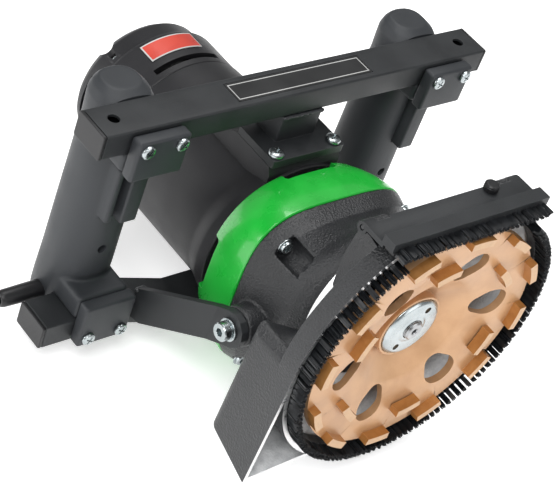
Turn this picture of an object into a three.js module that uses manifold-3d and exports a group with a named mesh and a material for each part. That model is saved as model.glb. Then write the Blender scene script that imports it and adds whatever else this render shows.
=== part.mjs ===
// Two-handed concrete wall grinder with one diamond cup wheel, in millimetres.
// The wheel faces -Y, the grips stand along Z and the crossbars run along X.
// The origin is the centre of the spindle nose.
import * as THREE from 'three';
import { mergeVertices } from 'three/addons/utils/BufferGeometryUtils.js';
import Module from 'manifold-3d';

const wasm = await Module();
wasm.setup();

const gap = 0.3;
const coarse = 48;
const medium = 28;
const fine = 14;
const deg = Math.PI / 180;

// Cup wheel
const wheelRadius = 90;
const segmentFace = -14;
const segmentHeight = 7;
const segmentWidth = 5.5;
const segmentSpan = 13.2 * deg;
const outerSegments = 12;
const innerSegments = 6;
const wheelPhase = -3.6 * deg;
const wheelBoreRadius = 11.1;
const seatY = 6.5;

// Gear pair and axes
const gearModule = 1.5;
const gearTeeth = 35;
const pinionTeeth = 11;
const motorZ = -gearModule * (gearTeeth + pinionTeeth) / 2;
const gearStart = 55;
const gearWidth = 12;

// Hood, collar, brush and flap
const rimRadius = 106.5;
const rimWall = 3;
const rimFront = -3.5;
const rimBack = 10.3;
const brushTip = -13;
const chordZ = 90;
const collarRadius = 62;
const flapHalf = 67.5;
const hingeY = 23;
const hingeZ = 91;
const latchX = 37;
const latchY = 19.2;
const ductLeft = -112;
const ductRight = -60;
const ductBottom = -92;
const ductBack = 40;

// Gear head, ring and motor
const headFront = 38;
const headBack = 94.5;
const bossY = 74.3;
const bossZ = -38.9;
const bossEnd = 78;
const headScrew = 51.9;
const ringBack = 130.7;
const flangeRadius = 63.6;
const housingRadius = 60;
const housingBack = 254;
const capBack = 314;
const capRadius = 57.5;
const pedestalTop = 34;
const pedestalHalf = 31;

// Frame and grips
const tubeDepth = 27.8;
const tubeHeight = 18.5;
const tubeWall = 2;
const barFront = 150;
const barTop = 79.7;
const barHalf = 162.7;
const lowTop = -82.4;
const lowHalf = 165.5;
const lowDip = 18;
const gripX = 124.5;
const gripY = 187;
const gripRadius = 22.5;
const gripTop = 83;
const gripWall = 3;
const clampHalf = 20;
const clampFace = 140;
const gripLow = -103;
const triggerLow = -6;
const triggerHigh = 40;
const triggerFrom = -2;
const triggerTo = 11;

// ---------------------------------------------------------------- helpers

const material = (color, roughness, metalness) =>
  new THREE.MeshStandardMaterial({ color, roughness, metalness });

const finish = {
  frame: material(0x2e3134, 0.55, 0.3),
  plug: material(0x17181a, 0.5, 0),
  grip: material(0x3a3d41, 0.65, 0),
  motor: material(0x2b2b2d, 0.6, 0),
  cast: material(0x242527, 0.75, 0.2),
  green: material(0x2fd541, 0.3, 0),
  bristle: material(0x101214, 0.8, 0),
  wheel: material(0xdba066, 0.45, 0.5),
  zinc: material(0xd7dcdc, 0.35, 0.9),
  steel: material(0xa5a8aa, 0.35, 1),
  alloy: material(0xe4e6e6, 0.3, 0.9),
  copper: material(0xb8682e, 0.4, 0.8),
  brass: material(0xc9a24c, 0.35, 0.9),
  label: material(0x1b1d20, 0.4, 0),
};

// A closed three.js geometry as a solid; an inside-out one is turned round.
function solid(geometry) {
  const bare = geometry.index ? geometry.clone() : geometry;
  bare.deleteAttribute('normal');
  bare.deleteAttribute('uv');
  const merged = mergeVertices(bare, 1e-4);
  const build = (indices) => new wasm.Manifold(new wasm.Mesh({
    numProp: 3,
    vertProperties: new Float32Array(merged.attributes.position.array),
    triVerts: new Uint32Array(indices),
  }));
  const index = [];
  const source = merged.index.array;
  for (let i = 0; i < source.length; i += 3) {
    const [a, b, c] = [source[i], source[i + 1], source[i + 2]];
    if (a !== b && b !== c && c !== a) index.push(a, b, c);
  }
  const first = build(index);
  if (first.volume() >= 0) return first;
  const flipped = [];
  for (let i = 0; i < index.length; i += 3) flipped.push(index[i], index[i + 2], index[i + 1]);
  return build(flipped);
}

const place = (geometry, x, y, z) => solid(geometry.translate(x, y, z));

// Box from its low corner to its high corner.
function box(x0, x1, y0, y1, z0, z1) {
  const geometry = new THREE.BoxGeometry(x1 - x0, y1 - y0, z1 - z0);
  return place(geometry, (x0 + x1) / 2, (y0 + y1) / 2, (z0 + z1) / 2);
}

function rodY(radius, y0, y1, x = 0, z = 0, sides = fine) {
  const geometry = new THREE.CylinderGeometry(radius, radius, y1 - y0, sides);
  return place(geometry, x, (y0 + y1) / 2, z);
}

function rodX(radius, x0, x1, y, z, sides = fine) {
  const geometry = new THREE.CylinderGeometry(radius, radius, x1 - x0, sides).rotateZ(Math.PI / 2);
  return place(geometry, (x0 + x1) / 2, y, z);
}

function rodZ(radius, z0, z1, x, y, sides = fine, topRadius = radius) {
  const geometry = new THREE.CylinderGeometry(topRadius, radius, z1 - z0, sides).rotateX(Math.PI / 2);
  return place(geometry, x, y, (z0 + z1) / 2);
}

// Closed profile of [radius, y] pairs, turned about the Y axis through x = 0, z.
function turned(profile, sides, z = 0) {
  const points = [...profile, profile[0]].map(([r, y]) => new THREE.Vector2(r, y));
  return place(new THREE.LatheGeometry(points, sides), 0, 0, z);
}

const tubeY = (outer, inner, y0, y1, z = 0, sides = fine) =>
  turned([[inner, y0], [outer, y0], [outer, y1], [inner, y1]], sides, z);

// Outline of [x, z] pairs, extruded from y0 to y1.
function slabY(outline, y0, y1) {
  const shape = new THREE.Shape(outline.map(([x, z]) => new THREE.Vector2(x, z)));
  const geometry = new THREE.ExtrudeGeometry(shape, { depth: y1 - y0, bevelEnabled: false });
  return place(geometry.rotateX(Math.PI / 2), 0, y1, 0);
}

// Outline of [x, y] pairs, extruded from z0 to z1.
function slabZ(outline, z0, z1) {
  const shape = new THREE.Shape(outline.map(([x, y]) => new THREE.Vector2(x, y)));
  const geometry = new THREE.ExtrudeGeometry(shape, { depth: z1 - z0, bevelEnabled: false });
  return place(geometry, 0, 0, z0);
}

// Outline of [y, z] pairs, extruded from x0 to x1.
function slabX(outline, x0, x1) {
  const shape = new THREE.Shape(outline.map(([y, z]) => new THREE.Vector2(y, z)));
  const geometry = new THREE.ExtrudeGeometry(shape, { depth: x1 - x0, bevelEnabled: false });
  return place(geometry.rotateY(Math.PI / 2).rotateX(Math.PI / 2), x0, 0, 0);
}

// Skin through equal rings of points with a flat lid at each end.
function loft(rings) {
  const count = rings[0].length;
  const positions = rings.flat().flatMap((p) => [p.x, p.y, p.z]);
  const index = [];
  for (let k = 0; k < rings.length - 1; k += 1) {
    for (let i = 0; i < count; i += 1) {
      const j = (i + 1) % count;
      const [a, b, c, d] = [k * count + i, k * count + j, (k + 1) * count + j, (k + 1) * count + i];
      index.push(a, b, c, a, c, d);
    }
  }
  const last = (rings.length - 1) * count;
  for (let i = 1; i < count - 1; i += 1) {
    index.push(0, i + 1, i);
    index.push(last, last + i, last + i + 1);
  }
  const geometry = new THREE.BufferGeometry();
  geometry.setAttribute('position', new THREE.Float32BufferAttribute(positions, 3));
  geometry.setIndex(index);
  return solid(geometry);
}

// Ring in a plane of constant y: mean radius plus a four-lobed bulge at the diagonals.
function lobedRing(y, z, radius, bulge, count = 32) {
  return Array.from({ length: count }, (_, i) => {
    const angle = i / count * 2 * Math.PI;
    const r = radius - bulge * Math.cos(4 * angle);
    return new THREE.Vector3(r * Math.cos(angle), y, z + r * Math.sin(angle));
  });
}

// Rounded rectangle ring in a plane of constant z.
function gripRing(z, x, y, halfX, halfY, count = 16) {
  return Array.from({ length: count }, (_, i) => {
    const angle = (i + 0.5) / count * 2 * Math.PI;
    const [c, s] = [Math.cos(angle), Math.sin(angle)];
    const power = 0.8;
    const px = halfX * Math.sign(c) * Math.abs(c) ** power;
    const py = halfY * Math.sign(s) * Math.abs(s) ** power;
    return new THREE.Vector3(x + px, y + py, z);
  });
}

const mirrorX = (shape) => shape.mirror([1, 0, 0]);
const sideName = { '-1': 'left', 1: 'right' };
const object = new THREE.Group();
object.name = 'wall_grinder';

function add(name, shape, look) {
  const { vertProperties, triVerts } = shape.getMesh();
  const geometry = new THREE.BufferGeometry();
  geometry.setAttribute('position', new THREE.BufferAttribute(new Float32Array(vertProperties), 3));
  geometry.setIndex([...triVerts]);
  const mesh = new THREE.Mesh(geometry, look.clone());
  mesh.name = name;
  object.add(mesh);
}

// Each side piece is drawn once on the +X side and mirrored for the left.
function addPair(name, shape, look) {
  add(`${name}_right`, shape, look);
  add(`${name}_left`, mirrorX(shape), look);
}

// Pan head with a short shank, its seat at y and the head towards -Y.
const panScrew = (x, y, z, head = 5.2) =>
  rodY(head, y - 3.4, y, x, z, 16).add(rodY(2.4, y - 1, y + 9, x, z, 12));

// ---------------------------------------------------------------- cup wheel

function wheelSolid() {
  const web = turned([
    [wheelRadius, -7], [72, -7], [60, -5], [44, -1], [25.5, 12], [24.8, 12], [24.8, 5.2], [22.9, 5.2], [22.9, seatY],
    [wheelBoreRadius, seatY], [wheelBoreRadius, 14], [32, 14], [37, 7], [60, -0.6], [74, -2], [wheelRadius, -2],
  ], coarse);
  const arc = (radius, from, to) => {
    const inner = radius - segmentWidth;
    const steps = 1;
    const edge = (r, a, b) => Array.from({ length: steps + 1 }, (_, i) => {
      const angle = a + (b - a) * i / steps;
      return [r * Math.cos(angle), r * Math.sin(angle)];
    });
    const outline = [...edge(radius, from, to), ...edge(inner, to, from)];
    return slabY(outline, segmentFace, segmentFace + segmentHeight + 2.5);
  };
  let wheel = web;
  for (let k = 0; k < outerSegments; k += 1) {
    const centre = wheelPhase + k * 2 * Math.PI / outerSegments;
    wheel = wheel.add(arc(wheelRadius - 0.05, centre - segmentSpan / 2, centre + segmentSpan / 2));
  }
  for (let k = 0; k < innerSegments; k += 1) {
    const centre = wheelPhase + Math.PI / 4 + k * 2 * Math.PI / innerSegments;
    wheel = wheel.add(arc(69, centre - 8.5 * deg, centre + 8.5 * deg));
    const slot = wheelPhase + Math.PI / 12 + k * 2 * Math.PI / innerSegments;
    const dropAt = (r, size) => rodY(size, -12, 18, r * Math.cos(slot), r * Math.sin(slot), 10);
    const drop = wasm.Manifold.hull([dropAt(60.2, 11.8), dropAt(52.5, 8)]);
    wheel = wheel.subtract(drop);
  }
  return wheel;
}

add('cup_wheel', wheelSolid(), finish.wheel);

const nutHoles = [60, 240].map((a) => rodY(2.5, 0, 8, 16 * Math.cos(a * deg), 16 * Math.sin(a * deg), 14));
const nut = turned([
  [7.3, 2.45], [19.5, 2.45], [22.5, 4.5], [22.5, seatY - gap], [10.8, seatY - gap],
  [10.8, 12.5], [7.3, 12.5],
], medium);
add('flange_nut', nutHoles.reduce((s, hole) => s.subtract(hole), nut), finish.zinc);

add('support_flange', turned([
  [7.3, 14 + gap], [21.5, 14 + gap], [21.5, 17.5], [14, 19.4], [7.3, 19.4],
], medium), finish.steel);

add('spindle', turned([
  [0, 0], [6.2, 0], [7, 0.8], [7, 19.7], [10, 19.7], [10, 39.7], [8.2, 39.7], [8.2, 54.7], [7.5, 54.7],
  [7.5, 77.7], [5.7, 77.7], [5.7, 86], [0, 86],
], fine), finish.steel);

// ---------------------------------------------------------------- gear pair

// Outline of an involute gear, with the middle of a tooth or a gap at angle zero.
function gearOutline(teeth, zeroIsTooth) {
  const pressure = 25 * deg;
  const pitch = gearModule * teeth / 2;
  const base = pitch * Math.cos(pressure);
  const tip = pitch + 0.8 * gearModule;
  const root = pitch - 1.1 * gearModule;
  const involute = (r) => {
    const a = Math.acos(Math.min(1, base / r));
    return Math.tan(a) - a;
  };
  const backlash = 0.14 / pitch;
  const half = Math.PI / (2 * teeth) - backlash + involute(pitch);
  const radii = [Math.max(base, root), tip];
  const outline = [];
  for (let k = 0; k < teeth; k += 1) {
    const centre = (k + (zeroIsTooth ? 0 : 0.5)) * 2 * Math.PI / teeth;
    const rise = radii.map((r) => [r, centre - half + involute(r)]);
    const fall = [...radii].reverse().map((r) => [r, centre + half - involute(r)]);
    const foot = rise[0][1];
    const heel = fall[1][1];
    outline.push([root, foot], ...rise, ...fall, [root, heel]);
  }
  const seen = new Set();
  return outline.map(([r, a]) => [r * Math.cos(a), r * Math.sin(a)]).filter(([x, z]) => {
    const key = `${x.toFixed(3)},${z.toFixed(3)}`;
    if (seen.has(key)) return false;
    seen.add(key);
    return true;
  });
}

// The wheel's axis is above the pinion's, so the meshing line points down from the gear.
const turnOutline = (outline, angle, z) => outline.map(([x, y]) => [
  x * Math.cos(angle) - y * Math.sin(angle),
  x * Math.sin(angle) + y * Math.cos(angle) + z,
]);
const gearEnd = gearStart + gearWidth;
const gearBlank = slabY(turnOutline(gearOutline(gearTeeth, true), -Math.PI / 2, 0), gearStart, gearEnd);
add('spindle_gear', gearBlank.subtract(rodY(7.5 + gap, gearStart - 1, gearEnd + 1)), finish.steel);

const pinionOutline = turnOutline(gearOutline(pinionTeeth, false), Math.PI / 2, motorZ);
const pinion = slabY(pinionOutline, gearStart, gearEnd);
const rotorShaft = turned([
  [0, 54], [5, 54], [5, 67], [5.7, 67], [5.7, 230], [4, 230], [4, 252], [0, 252],
], 20, motorZ);
add('rotor_shaft', pinion.add(rotorShaft), finish.steel);

// ---------------------------------------------------------------- bearings and collar

add('spindle_front_bearing', tubeY(20, 8.5, 40, 52), finish.steel);
add('spindle_rear_bearing', tubeY(14, 6, 78, 86), finish.steel);
add('rotor_front_bearing', tubeY(16, 6, 80, 90, motorZ), finish.steel);
add('rotor_rear_bearing', tubeY(11, 4.3, 243, 250, motorZ), finish.steel);
add('neck_collar', turned([
  [12, 28 + gap], [58, 28 + gap], [collarRadius, 30], [collarRadius, headFront - gap], [12, headFront - gap],
], medium), finish.alloy);

// ---------------------------------------------------------------- gear head

function headSolid() {
  const body = loft([
    lobedRing(headFront, 0, 50, 0),
    lobedRing(46, -3, 55, 0),
    lobedRing(62, -20, 63, 2),
    lobedRing(80, motorZ, 71, 5),
    lobedRing(headBack, motorZ, 74, 6),
  ]);
  let head = body;
  for (const side of [-1, 1]) {
    const [near, far] = side < 0 ? [-bossEnd, -40] : [40, bossEnd];
    head = head.add(rodX(14, near, far, bossY, bossZ, 12));
    head = head.subtract(rodX(4.3, side < 0 ? -90 : 60, side < 0 ? -60 : 90, bossY, bossZ, 14));
  }
  const seats = [
    rodY(20 + gap, 30, 52 + gap),
    rodY(31, 52, 76),
    rodY(13, 52, 76, 0, motorZ),
    rodY(61, 76, 100, 0, motorZ, medium),
  ];
  for (const seat of seats) head = head.subtract(seat);
  for (const sx of [-1, 1]) {
    for (const sz of [-1, 1]) {
      head = head.subtract(rodY(8.5, 40, 83, sx * headScrew, motorZ + sz * headScrew, fine));
      head = head.subtract(rodY(2.8, 80, 100, sx * headScrew, motorZ + sz * headScrew, 12));
    }
  }
  return head;
}

add('gear_head', headSolid(), finish.cast);
for (const sx of [-1, 1]) {
  for (const sz of [-1, 1]) {
    const name = `head_screw_${sz > 0 ? 'upper' : 'lower'}_${sideName[sx]}`;
    add(name, panScrew(sx * headScrew, 83 - gap, motorZ + sz * headScrew, 5.6), finish.zinc);
  }
}

const plate = rodY(60.5, 76 + gap, 94, 0, motorZ, medium)
  .subtract(rodY(14 + gap, 70, 86 + gap))
  .subtract(rodY(16 + gap, 80 - gap, 100, 0, motorZ))
  .subtract(rodY(10.5, 70, 90, 0, motorZ));
add('bearing_plate', plate, finish.alloy);

// Trim ring between the head and the motor: a round bore for the fan, an exhaust slot on each side.
function ringSolid() {
  let ring = loft([
    lobedRing(headBack + gap, motorZ, 74, 6),
    lobedRing(112, motorZ, 72.5, 5),
    lobedRing(ringBack, motorZ, 67, 2.5),
  ]).subtract(rodY(62, 80, 140, 0, motorZ, medium));
  for (let k = 0; k < 4; k += 1) {
    const slot = new THREE.BoxGeometry(44, 10, 50).translate(0, 130, 78).rotateY(k * Math.PI / 2);
    ring = ring.subtract(place(slot, 0, 0, motorZ));
  }
  return ring;
}
add('trim_ring', ringSolid(), finish.green);

// ---------------------------------------------------------------- motor

function housingSolid() {
  const y0 = ringBack + gap;
  let housing = turned([
    [56, y0], [flangeRadius, y0], [flangeRadius, 140], [housingRadius, 152], [housingRadius, 225],
    [58, housingBack], [54, housingBack], [56, 240],
  ], medium, motorZ);
  const pedestal = slabX([
    [y0 + 2, 0], [y0 + 2, pedestalTop - 6], [y0 + 5, pedestalTop], [172, pedestalTop], [184, 29], [222, 24],
    [222, 0],
  ], -pedestalHalf, pedestalHalf);
  housing = housing.add(pedestal).subtract(rodY(56, 100, 240, 0, motorZ, medium));
  const wall = tubeY(56.5, 11 + gap, 236, 243 - gap, motorZ, medium)
    .subtract(tubeY(40, 20, 230, 250, motorZ));
  housing = housing.add(wall).add(tubeY(20, 11 + gap, 236, 252, motorZ));
  for (let k = 0; k < 4; k += 1) {
    const spoke = new THREE.BoxGeometry(8, 6, 40).translate(0, 239, 32).rotateY(k * Math.PI / 2);
    housing = housing.add(place(spoke, 0, 0, motorZ));
  }
  return housing;
}
add('motor_housing', housingSolid(), finish.motor);

// Wedge about the motor axis, from one angle to another seen from the front.
function wedge(y0, y1, from, to, reach = 90) {
  const steps = Array.from({ length: 5 }, (_, i) => (from + (to - from) * i / 4) * deg);
  const outline = [[0, 0], ...steps.map((a) => [reach * Math.cos(a), reach * Math.sin(a)])];
  return slabY(outline.map(([x, z]) => [x, z + motorZ]), y0, y1);
}

const capScrews = [-1, 1].map((side) => [side * 34, motorZ + 33]);
function capSolid() {
  let cap = turned([
    [0, capBack], [44, capBack], [49, capBack - 3], [53, 306], [54, 293], [capRadius, 290],
    [capRadius, housingBack + gap], [53.5, housingBack + gap], [53.5, 287], [50, 291], [48, 303],
    [45, capBack - 5], [0, capBack - 5],
  ], medium, motorZ);
  cap = cap.subtract(wedge(259.5, 264.5, 66, 122));
  for (let k = -3; k <= 3; k += 1) {
    cap = cap.subtract(box(-30, 30, capBack - 10, capBack + 5, motorZ + k * 9 - 1.6, motorZ + k * 9 + 1.6));
  }
  for (const [from, to] of [[158, 202], [-22, 22]]) cap = cap.subtract(wedge(294, 302, from, to));
  for (const [x, z] of capScrews) {
    const boss = rodY(7.6, 282, 296, x, z, 18).intersect(rodY(55, 200, 330, 0, motorZ, medium));
    cap = cap.subtract(rodY(6.5, 296, 330, x, z, 18)).add(boss);
  }
  return cap;
}
add('rear_cap', capSolid(), finish.motor);
capScrews.forEach(([x, z], i) => {
  add(`cap_screw_${i ? 'right' : 'left'}`, rodY(4.6, 296 + gap, 300, x, z, 16), finish.zinc);
});
const badge = tubeY(capRadius + 0.9, capRadius + gap, 271, 287, motorZ, medium);
add('rating_plate', badge.intersect(wedge(260, 290, 75, 118)), finish.label);

const windings = tubeY(46, 33, 132, 206, motorZ, medium);
const poleWindow = box(-47, 47, 120, 220, motorZ - 17, motorZ + 17);
const fieldStack = tubeY(56 - gap, 29, 138, 200, motorZ, medium).add(windings).subtract(poleWindow);
add('stator', fieldStack, finish.copper);
add('fan', (() => {
  let fan = turned([[6, 98], [14, 98], [14, 108], [50, 112], [50, 114], [6, 114]], medium, motorZ);
  for (let k = 0; k < 8; k += 1) {
    const blade = new THREE.BoxGeometry(2, 12, 36).translate(0, 104, 31).rotateY(k * Math.PI / 4);
    fan = fan.add(place(blade, 0, 0, motorZ));
  }
  return fan;
})(), finish.plug);
add('armature', turned([
  [6, 128], [20, 128], [24, 140], [27, 140], [27, 196], [24, 196], [20, 206], [17, 208], [17, 228], [6, 228],
], fine, motorZ), finish.copper);
for (const side of [-1, 1]) {
  const [x0, x1] = side < 0 ? [-54, -17.5] : [17.5, 54];
  const holder = box(x0, x1, 212, 224, motorZ - 5, motorZ + 5);
  add(`brush_holder_${sideName[side]}`, holder, finish.brass);
}

// ---------------------------------------------------------------- hood

// Outer and inner surfaces of the drum and its conical back, each closed to the axis.
const drumOuter = turned([
  [0, -20], [rimRadius, -20], [rimRadius, rimBack], [rimRadius - 1.5, rimBack], [68, 24], [60, 28], [0, 28],
], coarse);
const rimInside = rimRadius - rimWall;
const drumInner = turned([
  [0, -20], [rimInside, -20], [rimInside, 7], [66, 20.5], [58, 24], [0, 24],
], coarse);

function hoodSolid() {
  const drum = drumOuter.subtract(drumInner).subtract(box(-150, 150, -30, rimFront, -150, 150));
  const corner = slabY([
    [ductLeft, ductBottom], [ductRight, ductBottom + 1.5], [-40, -84], [-62, -14], [-98, 8], [-106.2, 3],
  ], rimFront, ductBack);
  const hollow = slabY([
    [ductLeft + 3, ductBottom + 3], [ductRight - 1, ductBottom + 4.5], [-52, -80], [-66, -30], [-96, -14],
    [-104.5, -8],
  ], rimFront - 1, ductBack - 3);
  const slope = (lift) => slabX([
    [rimFront, ductBottom - 3], [rimFront, ductBottom + lift - 0.5], [45, lift - 77], [45, -96],
  ], -130, -40);
  const ramp = slope(0);
  const floor = slope(3);
  let hood = drum.add(corner.subtract(drumInner).subtract(ramp));
  hood = hood.subtract(hollow.subtract(drumOuter).subtract(floor));
  hood = hood.subtract(rodY(15, ductBack - 10, ductBack + 5, -86, -54, 28));
  hood = hood.subtract(rodY(12, -40, 60)).subtract(box(-80, 80, -30, 50, chordZ - 1, 130));
  hood = hood.add(box(-57.5, 57.5, 1.5, 20, chordZ - 4, chordZ - 1));
  const web = [[10, 84], [18, 86], [28, 86], [31, 60], [30, 36], [24, 32]];
  hood = hood.add(slabX(web, -62, -58)).add(slabX(web, 58, 62));
  for (const side of [-1, 1]) {
    const [x0, x1] = side < 0 ? [-58, -48] : [48, 58];
    hood = hood.add(rodX(4, x0, x1, hingeY, hingeZ, 12));
    hood = hood.add(box(x0, x1, 14, hingeY + 3, chordZ - 4, chordZ - 1));
    hood = hood.subtract(rodX(2, x0 - 1, x1 + 1, hingeY, hingeZ, 14));
  }
  return hood;
}
add('hood', hoodSolid(), finish.cast);

const brushProfile = [
  [97.5, 6], [rimInside - gap, 6], [rimInside - gap, rimFront - 1], [104.7, brushTip],
  [96.5, brushTip], [97, -4],
];
const brushCut = box(-90, 90, -30, 20, chordZ - 5, 130);
add('brush_ring', turned(brushProfile, coarse).subtract(brushCut), finish.bristle);

// ---------------------------------------------------------------- folding flap

const flapBar = slabX([
  [-4, 94], [-4, 100.5], [6, 100.5], [6, 95.2], [hingeY, 95.2], [hingeY, 91.6], [4, 91.6], [4, 94],
], -flapHalf, flapHalf);
let flap = flapBar;
for (const [x0, x1] of [[-flapHalf, -58 - gap], [58 + gap, flapHalf]]) {
  flap = flap.add(rodX(4.2, x0, x1, hingeY, hingeZ, 12));
  flap = flap.subtract(rodX(1.6 + gap, x0 - 1, x1 + 1, hingeY, hingeZ, 14));
}
for (const [x0, x1] of [[-58 - gap, -48 + gap], [48 - gap, 58 + gap]]) {
  flap = flap.subtract(rodX(4.6, x0, x1, hingeY, hingeZ, 12));
}
flap = flap.subtract(rodZ(3 + gap, 85, 110, latchX, latchY, 12));
add('flap', flap, finish.cast);
const fringe = box(-66, 66, brushTip, 3.6, 91.4, 94 - gap).add(box(-66, 66, brushTip, -4 - gap, 91.4, 98));
add('flap_brush', fringe, finish.bristle);
for (const side of [-1, 1]) {
  const [x0, x1] = side < 0 ? [-flapHalf + 0.5, -49] : [49, flapHalf - 0.5];
  add(`hinge_pin_${sideName[side]}`, rodX(1.5, x0, x1, hingeY, hingeZ, 14), finish.steel);
}
const latchStem = rodZ(3, 91.9, 96, latchX, latchY, 12);
add('flap_latch', latchStem.add(rodZ(5, 95.5, 100.5, latchX, latchY, 12)), finish.plug);

// ---------------------------------------------------------------- frame

const barBack = barFront + tubeDepth;
const barMid = (barFront + barBack) / 2;
const barLow = barTop - tubeHeight;

let topTube = box(-barHalf, barHalf, barFront, barBack, barLow, barTop).subtract(box(
  -barHalf - 5, barHalf + 5, barFront + tubeWall, barBack - tubeWall, barLow + tubeWall, barTop - tubeWall));
for (const side of [-1, 1]) {
  topTube = topTube.subtract(rodZ(4, barTop - 5, barTop + 5, side * 149, barMid + 0.5, 12));
}
const labelFront = barFront + 5;
const labelBack = barBack - 5;
const labelBed = box(-58 - gap, 58 + gap, labelFront - gap, labelBack + gap, barTop - 0.8, barTop + 5);
add('top_tube', topTube.subtract(labelBed), finish.frame);

// End plug: a lid on the tube's end and a stub inside it.
function plugSolid(end, low, top) {
  const inner = tubeWall + gap;
  const stub = box(end - 6, end + 1, barFront + inner, barBack - inner, low + inner, top - inner);
  return box(end + gap, end + 2.6, barFront, barBack, low, top).add(stub);
}
addPair('top_plug', plugSolid(barHalf, barLow, barTop), finish.plug);

// Block under the bar, with a base plate screwed to the pedestal on the motor.
const footTop = pedestalTop + 6;
const foot = box(-17, 17, 150, 172, footTop - 1, barLow - gap)
  .add(box(-pedestalHalf, pedestalHalf, 133, 172, pedestalTop + gap, footTop));
add('bar_foot', foot, finish.frame);
for (const side of [-1, 1]) {
  const screw = rodZ(5.4, footTop + gap, footTop + 3.6, side * 25, 139, 12);
  add(`foot_screw_${sideName[side]}`, screw, finish.zinc);
}
add('bar_label', box(-58, 58, labelFront, labelBack, barTop - 0.5, barTop - 0.1), finish.label);

// Lower crossbar: straight in the clamps, dipped in the middle to pass under the motor.
const dipOutline = (inset, reach) => {
  const top = lowTop - inset;
  const low = lowTop - tubeHeight + inset;
  const end = lowHalf + reach;
  const [a, b] = [100, 48];
  return [
    [-end, low], [-a, low], [-b, low - lowDip], [b, low - lowDip], [a, low], [end, low],
    [end, top], [a, top], [b, top - lowDip], [-b, top - lowDip], [-a, top], [-end, top],
  ];
};
add('lower_tube', slabY(dipOutline(0, 0), barFront, barBack).subtract(
  slabY(dipOutline(tubeWall, 5), barFront + tubeWall, barBack - tubeWall)), finish.frame);
const lowLow = lowTop - tubeHeight;
addPair('lower_plug', plugSolid(lowHalf, lowLow, lowTop), finish.plug);

// Flat strut from the lower bar to the boss on the gear head, bent near its front end.
const strutPlan = slabZ([
  [bossEnd + gap, 58], [bossEnd + 6, 58], [bossEnd + 6, 90], [98, barFront - gap], [92, barFront - gap],
  [bossEnd + gap, 91],
], -120, 0);
const strutSide = wasm.Manifold.hull([
  rodX(13, 60, 120, bossY, bossZ, 12),
  box(60, 120, 140, barFront, -93, -68),
]);
const strut = strutPlan.intersect(strutSide).subtract(rodX(4.3, 60, 120, bossY, bossZ, 14));
addPair('strut', strut, finish.frame);
const boltStart = bossEnd + 6 + gap;
addPair('strut_bolt', rodX(8, boltStart, boltStart + 1.6, bossY, bossZ, 12)
  .add(rodX(6.5, boltStart + 1, boltStart + 8, bossY, bossZ, 12))
  .add(rodX(4, 64, boltStart + 2, bossY, bossZ, 12))
  .subtract(rodX(3.2, boltStart + 3, boltStart + 12, bossY, bossZ, 6)), finish.zinc);

// ---------------------------------------------------------------- grips

// Hollow grip with a saddle block against each crossbar, drawn about x = 0.
function gripSolid(x) {
  const outer = loft([
    gripRing(gripLow, x, gripY + 7, gripRadius - 7, gripRadius - 9),
    gripRing(gripLow + 8, x, gripY + 4, gripRadius - 1, gripRadius - 2),
    gripRing(-58, x, gripY, gripRadius, gripRadius + 1),
    gripRing(56, x, gripY, gripRadius - 1, gripRadius),
    gripRing(gripTop - 9, x, gripY + 3, gripRadius - 1, gripRadius - 2),
    gripRing(gripTop, x, gripY + 8, gripRadius - 9, gripRadius - 11),
  ]);
  const core = loft([
    gripRing(gripLow + 12, x, gripY + 8, gripRadius - 9, gripRadius - 13),
    gripRing(-58, x, gripY + 3, gripRadius - gripWall - 1, gripRadius - gripWall - 2),
    gripRing(50, x, gripY + 3, gripRadius - gripWall - 1, gripRadius - gripWall - 2),
  ]);
  let grip = outer;
  for (const [low, high] of [[46, barLow - gap], [lowTop + gap, -64]]) {
    grip = grip.add(box(x - clampHalf, x + clampHalf, barFront, gripY - 10, low, high));
  }
  for (const low of [barLow, lowLow]) {
    const high = low === barLow ? barTop + 9 : lowTop;
    const reach = low === barLow ? 0 : 9;
    grip = grip.subtract(box(x - 60, x + 60, 100, barBack + gap, low - gap - reach, high + gap));
  }
  grip = grip.subtract(core);
  const [left, right] = [x + triggerFrom - gap, x + triggerTo + gap];
  return grip.subtract(box(left, right, 150, gripY, triggerLow - gap, triggerHigh + gap));
}

// Finger paddle of the trigger, part of it inside the grip's wall.
const paddleSolid = (x) => box(x + triggerFrom, x + triggerTo, 155, 172, triggerLow, triggerHigh);
function capBlock(x, low, high, screwZ) {
  const block = box(x - clampHalf, x + clampHalf, clampFace, barFront - gap, low, high);
  const head = (shift) => rodY(4.8, clampFace - 3, clampFace + 1, x + shift, screwZ, 16);
  return block.add(head(-13)).add(head(13));
}

for (const side of [-1, 1]) {
  const x = side * gripX;
  const name = sideName[side];
  let grip = gripSolid(x);
  if (side < 0) {
    const rib = box(x - 12.5, x - 6.5, 158, 172, triggerLow, triggerHigh);
    grip = grip.add(rib).subtract(rodX(6.8, -160, x - 8, gripY + 2, -88, 12));
  }
  add(`grip_${name}`, grip, finish.grip);
  add(`clamp_top_${name}`, capBlock(x, 46, 77, barLow + tubeHeight / 2), finish.grip);
  add(`clamp_low_${name}`, capBlock(x, -99, -64, lowLow + tubeHeight / 2), finish.grip);
  add(`trigger_${name}`, paddleSolid(x), finish.plug);
  add(`switch_block_${name}`, box(x - 10, x + 12, 180, 200, triggerLow, triggerHigh - 6), finish.plug);
}
add('cord_sleeve', rodX(6.5, -178, -gripX - 9, gripY + 2, -88, 12).subtract(
  rodX(3.6, -180, -gripX, gripY + 2, -88, 12)), finish.plug);

export default object;
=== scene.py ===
# Two-handed concrete wall grinder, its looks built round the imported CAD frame.
# A piece is drawn in millimetres and scaled to metres when it is finished.
import bpy
import bmesh
import math
import random
from mathutils import Matrix, Vector


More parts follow.
